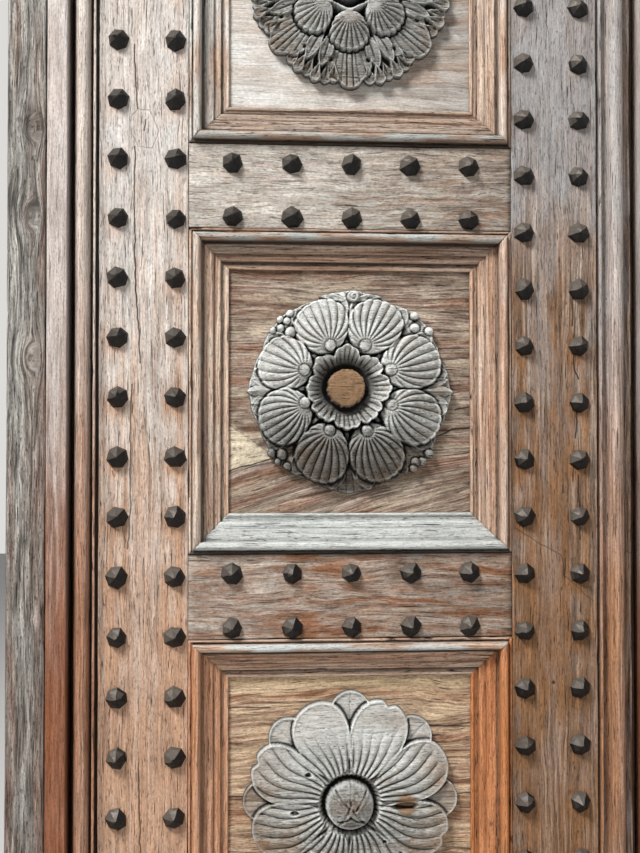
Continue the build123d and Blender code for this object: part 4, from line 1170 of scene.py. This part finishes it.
def lowerCarving(x, z):
    radius, angle = np.hypot(x, z), np.arctan2(z, x)
    height = np.full(x.shape, -2.0)
    for index in range(8):
        # back petals, seen between the front ones
        u, v = turned(x, z, 45 * index)
        edge = ovalEdge(u, v, 118, 44, 34, 0.05)
        top = 8.5 + 3.5 * smoothStep(4.5, 0.8, edge) - 1.2 * hump(v, 1.5)
        height = lay(height, top, edge, 1.6)
    # the ribs start from one low disc round the bud
    start = np.abs(np.cos(math.pi * angle / math.radians(8.6)))
    height = lay(height, 22 - 0.08 * (radius - 40) - 6 * (1 - start ** 0.5), 82 - radius, 2.0)
    flat = smoothStep(40, 130, z)
    for index in range(8):
        turn = 22.5 + 45 * index + 1.5 * softNoise(index * 1.3, 0.6, 41)
        u, v = turned(x, z, turn)
        notch = 5.0 * hump(v, 7) * (index % 2)
        edge = ovalEdge(u, v, 98, 60 - 1.5 * (index % 3), 41.5, 0.30) - notch * smoothStep(120, 150, u)
        share = np.clip((u - 42) / 112, 0, 1)
        top = 28 - 15 * share ** 0.9 + 3 * np.sin(math.pi * share)
        top = top - 4.0 * (v / 41) ** 2 * (1 - flat)
        rim = hump(edge - 2.0, 1.5) * smoothStep(0.35, 0.6, share)
        top = top + 1.8 * rim
        # S-curved ribs that fan out of the eye, worn away on the upper petals
        swing = 17 * np.sin(math.pi * 1.3 * share + 0.9 * index) * share
        spread = np.arctan2(v + swing * (1 - flat), u - 6) / math.radians(8.6)
        rib = np.abs(np.cos(math.pi * spread))
        lasting = smoothStep(1.0, 0.78, share) * (1 - flat) + smoothStep(0.42, 0.12, share) * flat
        depth = (6.5 + 3.0 * smoothStep(0.35, 0.0, share)) * lasting
        top = top - depth * (1 - rim) * (1 - rib ** 0.5)
        height = lay(height - 1.4 * hump(edge + 1.0, 1.0) * (share > 0.3), top, edge, 1.8)
    # hollows left by lost wood
    for place, turn, long, short, depth in ((82, -4, 24, 7, 8), (83, 189, 8, 4, 7), (77, -48, 3.5, 3.5, 6),
                                            (76, 145, 6, 4, 7), (110, 240, 10, 4, 5)):
        cx, cz = fromCentre(place, turn)
        gap = np.hypot((x - cx) / long, (z - cz) / short)
        height = height - depth * smoothStep(1.0, 0.55, gap)
    # fine cross cracks where the wood is worn flat
    cracks = softNoise(x / 26, z / 1.9, 45)
    height = height - 1.0 * smoothStep(0.35, 0.75, cracks) * flat * (height > 8)
    # trench and the bud, whose folded leaves lie over one another
    trench = 8 + 14 * smoothStep(37, 47, radius)
    height = np.where(radius < 50, np.minimum(height, trench + 12 * smoothStep(44, 50, radius)
                                              - 3 * (1 - np.abs(np.cos(20 * angle)) ** 0.6)), height)
    bud = 21 + 20 * np.sqrt(np.clip(1 - (radius / 38) ** 2, 0, 1))
    seams = [((1, 36), (0, 2)), ((-22, 24), (-2, -1)), ((24, 22), (8, -4)), ((-1, -1), (-17, -27)),
             ((3, -3), (20, -24)), ((-18, -22), (0, -15)), ((0, -15), (21, -23))]
    for (x0, z0), (x1, z1) in seams:
        run, rise = x1 - x0, z1 - z0
        share = np.clip(((x - x0) * run + (z - z0) * rise) / (run * run + rise * rise), 0, 1)
        gap = np.hypot(x - x0 - share * run, z - z0 - share * rise + 2.2 * np.sin(math.pi * share))
        bud = bud - 3.6 * hump(gap, 1.5) + 1.2 * hump(gap - 3.6, 1.8)
    bud = bud - 0.8 * np.abs(np.sin(x / 2.3 + z / 9)) * smoothStep(34, 20, radius)
    return lay(height, bud, 36.5 - radius, 2.0)


def discGrid(count):
    # an even grid over the unit disc: a square folded onto it with equal areas
    line = np.linspace(-1, 1, count + 1)
    a, b = np.meshgrid(line, line, indexing="ij")
    wide = np.abs(a) > np.abs(b)
    radius = np.where(wide, a, b)
    safeA, safeB = np.where(wide, a, 1.0), np.where(wide | (b == 0), 1.0, b)
    angle = np.where(wide, math.pi / 4 * b / safeA, math.pi / 2 - math.pi / 4 * a / safeB)
    return radius * np.cos(angle), radius * np.sin(angle)


def blurred(values, reach):
    weights = np.exp(-np.linspace(-2, 2, 2 * reach + 1) ** 2)
    weights = weights / weights.sum()
    padded = np.pad(values, reach, mode="edge")
    across = sum(w * padded[i:i + values.shape[0], :] for i, w in enumerate(weights))
    return sum(w * across[:, i:i + values.shape[1]] for i, w in enumerate(weights))


# rays and steps that look for the outline, and how many cells wide the shade in the hollows is spread
carvingGrid = {"rays": 1440, "steps": 160, "innermost": 0.75, "fineSpread": 5, "wideSpread": 16}


def rosettePiece(node, carving, seed, look):
    count, reach = look["gridCount"], look["radius"]
    low, high = boxOf(node)
    centreX, centreZ = (low[0] + high[0]) / 2, (low[2] + high[2]) / 2
    relief = high[1] - low[1] - 0.4
    # how far the carving reaches in every direction, and the grid drawn out to there
    turns = np.linspace(-math.pi, math.pi, carvingGrid["rays"] + 1)
    steps = np.linspace(carvingGrid["innermost"], 1.0, carvingGrid["steps"] + 1) * reach
    covered = carving(steps[:, None] * np.cos(turns), steps[:, None] * np.sin(turns)) > 2.0
    outermost = steps[len(steps) - 1 - np.argmax(covered[::-1], axis=0)]
    outermost = (np.roll(outermost[:-1], 1) + outermost[:-1] + np.roll(outermost[:-1], -1)) / 3
    outermost = np.append(outermost, outermost[0])
    unitX, unitZ = discGrid(count)
    rimReach = np.interp(np.arctan2(unitZ, unitX), turns, outermost)
    x, z = unitX * rimReach, unitZ * rimReach
    inner = 1 - unitX ** 2 - unitZ ** 2
    height = carving(x - look["shift"][0] * inner, z - look["shift"][1] * inner)
    height = np.clip(height + 0.5 * layeredNoise(x / 14, z / 5, seed, 3) - 0.4, 1.5, relief)
    atEdge = np.ones(height.shape, bool)
    atEdge[1:-1, 1:-1] = False
    height = np.where(atEdge, -0.6, height)
    # hollows are darkened with painted shade and dirt, crests pale, and the wood is browner here and there
    soft = blurred(height, carvingGrid["fineSpread"])
    hollow = smoothStep(0.2, 2.3, soft - height)
    wide = smoothStep(1.0, 10.0, blurred(height, carvingGrid["wideSpread"]) - height)
    crest = smoothStep(0.3, 2.0, height - soft)
    patchy = smoothStep(0.1, 0.7, layeredNoise(x / 45, z / 30, seed + 3, 3))
    warm = np.clip(look["warm"](x, z) + 0.35 * patchy, 0, 1)
    marks = {
        "grainPlace": spots(x + 700 * seed, z, height),
        "warm": warm.ravel(),
        "silver": np.clip(0.6 * crest * (1 - warm) + look["silver"](x, z), 0, 1).ravel(),
        "dirt": np.clip(0.9 * hollow + 0.65 * wide + look["dirt"](x, z), 0, 0.97).ravel(),
    }
    size = count + 1
    corner = (np.arange(count)[:, None] * size + np.arange(count)[None]).ravel()
    faces = np.stack([corner, corner + size, corner + size + 1, corner + 1], -1).tolist()
    rim = [i * size for i in range(count)] + [count * size + j for j in range(count)]
    rim += [(count - i) * size + count for i in range(count)] + [count - j for j in range(count)]
    faces.append(rim)
    points = spots(centreX + x, high[1] - height, centreZ + z)
    addPiece(node, points, faces, carvedWood, "leaf", marks)


carvedWood = weatheredWood("carvedTeakWeathered", dark="#6a6862", mid="#989790", pale="#bdbdb7",
                           warm="#9b7a5c", silver="#dfe1dd", grime="#12100d", streakLength=60,
                           streakWidth=2.2, hairWidth=1.0, hairContrast=0.18, warmBands=0.15,
                           silverPatches=0.3, checkLength=30, checkWidth=1.6, bump=0.6, bumpDepth=0.7,
                           roughness=0.8)


def inDisc(x, z, radius, cx=0.0, cz=0.0, soft=4.0):
    return smoothStep(radius, radius - soft, np.hypot(x - cx, z - cz))


rosettePiece("middle_rosette", middleCarving, 101, {
    "gridCount": 230, "radius": 160, "shift": (-8.0, 5.0),
    "warm": lambda x, z: inDisc(x, z, 31, -8, 5) + 0.35 * smoothStep(-40, -130, z),
    # paler towards the upper left, where the light comes from, as a painted highlight; not on the boss
    "silver": lambda x, z: 0.25 * smoothStep(-60, 60, z - x * 0.3) * (np.hypot(x + 8, z - 5) > 35),
    # painted shade over the lower part and in the collar round the cup, stronger in its upper half; the boss
    # a little darker
    "dirt": lambda x, z: 0.62 * smoothStep(10, -120, z + x * 0.2) + 0.1 * inDisc(x, z, 31, -8, 5)
    + (0.45 + 0.3 * smoothStep(-30, 30, z)) * (inDisc(x, z, 56, -8, 5, 18) - inDisc(x, z, 32, -8, 5, 2)),
})
rosettePiece("upper_rosette", upperCarving, 102, {
    "gridCount": 220, "radius": 156, "shift": (-4.6, -3.4),
    "warm": lambda x, z: 0.25 * smoothStep(100, 150, np.hypot(x, z)),
    "silver": lambda x, z: 0.12 * inDisc(x, z, 100),
    "dirt": lambda x, z: 0.55 * inDisc(x, z, 34, soft=3) + 0.36,
})
rosettePiece("lower_rosette", lowerCarving, 103, {
    "gridCount": 220, "radius": 164, "shift": (-3.0, -4.3),
    "warm": lambda x, z: 0.45 * smoothStep(90, 150, np.hypot(x, z)) + 0.9 * inDisc(x, z, 20, 82, -6, 8)
    + 0.1 * inDisc(x, z, 36),
    "silver": lambda x, z: 0.45 * smoothStep(10, 90, z) * (np.hypot(x, z) > 45),
    # a little darker all over, painted shade over the lower part, and the bud darker
    "dirt": lambda x, z: 0.06 + 0.12 * smoothStep(-20, -120, z) + 0.25 * inDisc(x, z, 38),
})
print("rosettes carved")

# Stage, lights and camera

stageLook = {"floor": "#c9c7c4", "backdrop": "#dddbd8", "roughness": 0.9, "reach": 16.0, "backdropAt": 10.0}
reach, behind = stageLook["reach"], stageLook["backdropAt"]
sheets = {
    "floor": [(-reach, -reach, 0), (reach, -reach, 0), (reach, reach, 0), (-reach, reach, 0)],
    "backdrop": [(-reach, behind, 0), (reach, behind, 0), (reach, behind, reach), (-reach, behind, reach)],
}
for part, corners in sheets.items():
    name = "studio" + part.capitalize()
    material, add = emptyMaterial(name)
    surface = add("ShaderNodeBsdfPrincipled", {"Base Color": linear(stageLook[part]),
                                               "Roughness": stageLook["roughness"]})
    if part == "backdrop":
        # it shows its own pale tone to the camera, and lights nothing
        glow = add("ShaderNodeEmission", {"Color": linear(stageLook[part]), "Strength": 1.0})
        rays = add("ShaderNodeLightPath")
        surface = add("ShaderNodeMixShader", {0: rays.outputs["Is Camera Ray"], 1: surface, 2: glow})
    add("ShaderNodeOutputMaterial", {0: surface})
    mesh = bpy.data.meshes.new(name)
    mesh.from_pydata(corners, [], [(0, 1, 2, 3)])
    mesh.materials.append(material)
    linked(name, mesh)

lightLooks = {
    "skyLight": {"place": (-2.2, -2.5, 4.6), "aimHeight": 1.1, "size": 1.3, "power": 330},
    "fillLight": {"place": (2.6, -3.4, 1.2), "aimHeight": 1.0, "size": 2.5, "power": 14},
    "backLight": {"place": (1.5, 3.0, 3.6), "aimHeight": 1.1, "size": 2.0, "power": 60},
}
for name, look in lightLooks.items():
    lamp = bpy.data.lights.new(name, "AREA")
    lamp.shape = "RECTANGLE"
    lamp.size = lamp.size_y = look["size"]
    lamp.energy = look["power"]
    light = linked(name, lamp)
    light.location = look["place"]
    light.rotation_mode = "QUATERNION"
    gaze = Vector((0, 0, look["aimHeight"])) - Vector(look["place"])
    light.rotation_quaternion = gaze.to_track_quat("-Z", "Y")
airLook = {"tone": "#f3f4f6", "strength": 0.335}
world = bpy.data.worlds.new("studioAir")
bpy.context.scene.world = world
world.use_nodes = True
air = world.node_tree.nodes["Background"].inputs
air["Color"].default_value = linear(airLook["tone"])
air["Strength"].default_value = airLook["strength"]

cameraPlace = {"besidePanels": -176.4, "inFrontOfLeaf": 1776.1, "belowMiddle": -84.6, "yaw": 4.167,
               "pitch": 1.027, "focalPixels": 1200.0, "framePixels": 853.0, "sensor": 36.0}
leafFace = boxOf("hinge_stile")[0][1]
cameraData = bpy.data.cameras.new("photoCamera")
cameraData.sensor_width = cameraPlace["sensor"]
cameraData.lens = cameraPlace["sensor"] * cameraPlace["focalPixels"] / cameraPlace["framePixels"]
camera = linked("photoCamera", cameraData)
camera.location = (
    (panelMiddle + cameraPlace["besidePanels"]) * mm,
    (leafFace - cameraPlace["inFrontOfLeaf"]) * mm,
    ((panelLow[2] + panelHigh[2]) / 2 + cameraPlace["belowMiddle"]) * mm,
)
yaw, pitch = math.radians(cameraPlace["yaw"]), math.radians(cameraPlace["pitch"])
gaze = Vector((math.sin(yaw) * math.cos(pitch), math.cos(yaw) * math.cos(pitch), math.sin(pitch)))
camera.rotation_mode = "QUATERNION"
camera.rotation_quaternion = gaze.to_track_quat("-Z", "Y")
bpy.context.scene.camera = camera
bpy.context.scene.view_settings.view_transform = "Standard"
print("stage, lights and camera made")
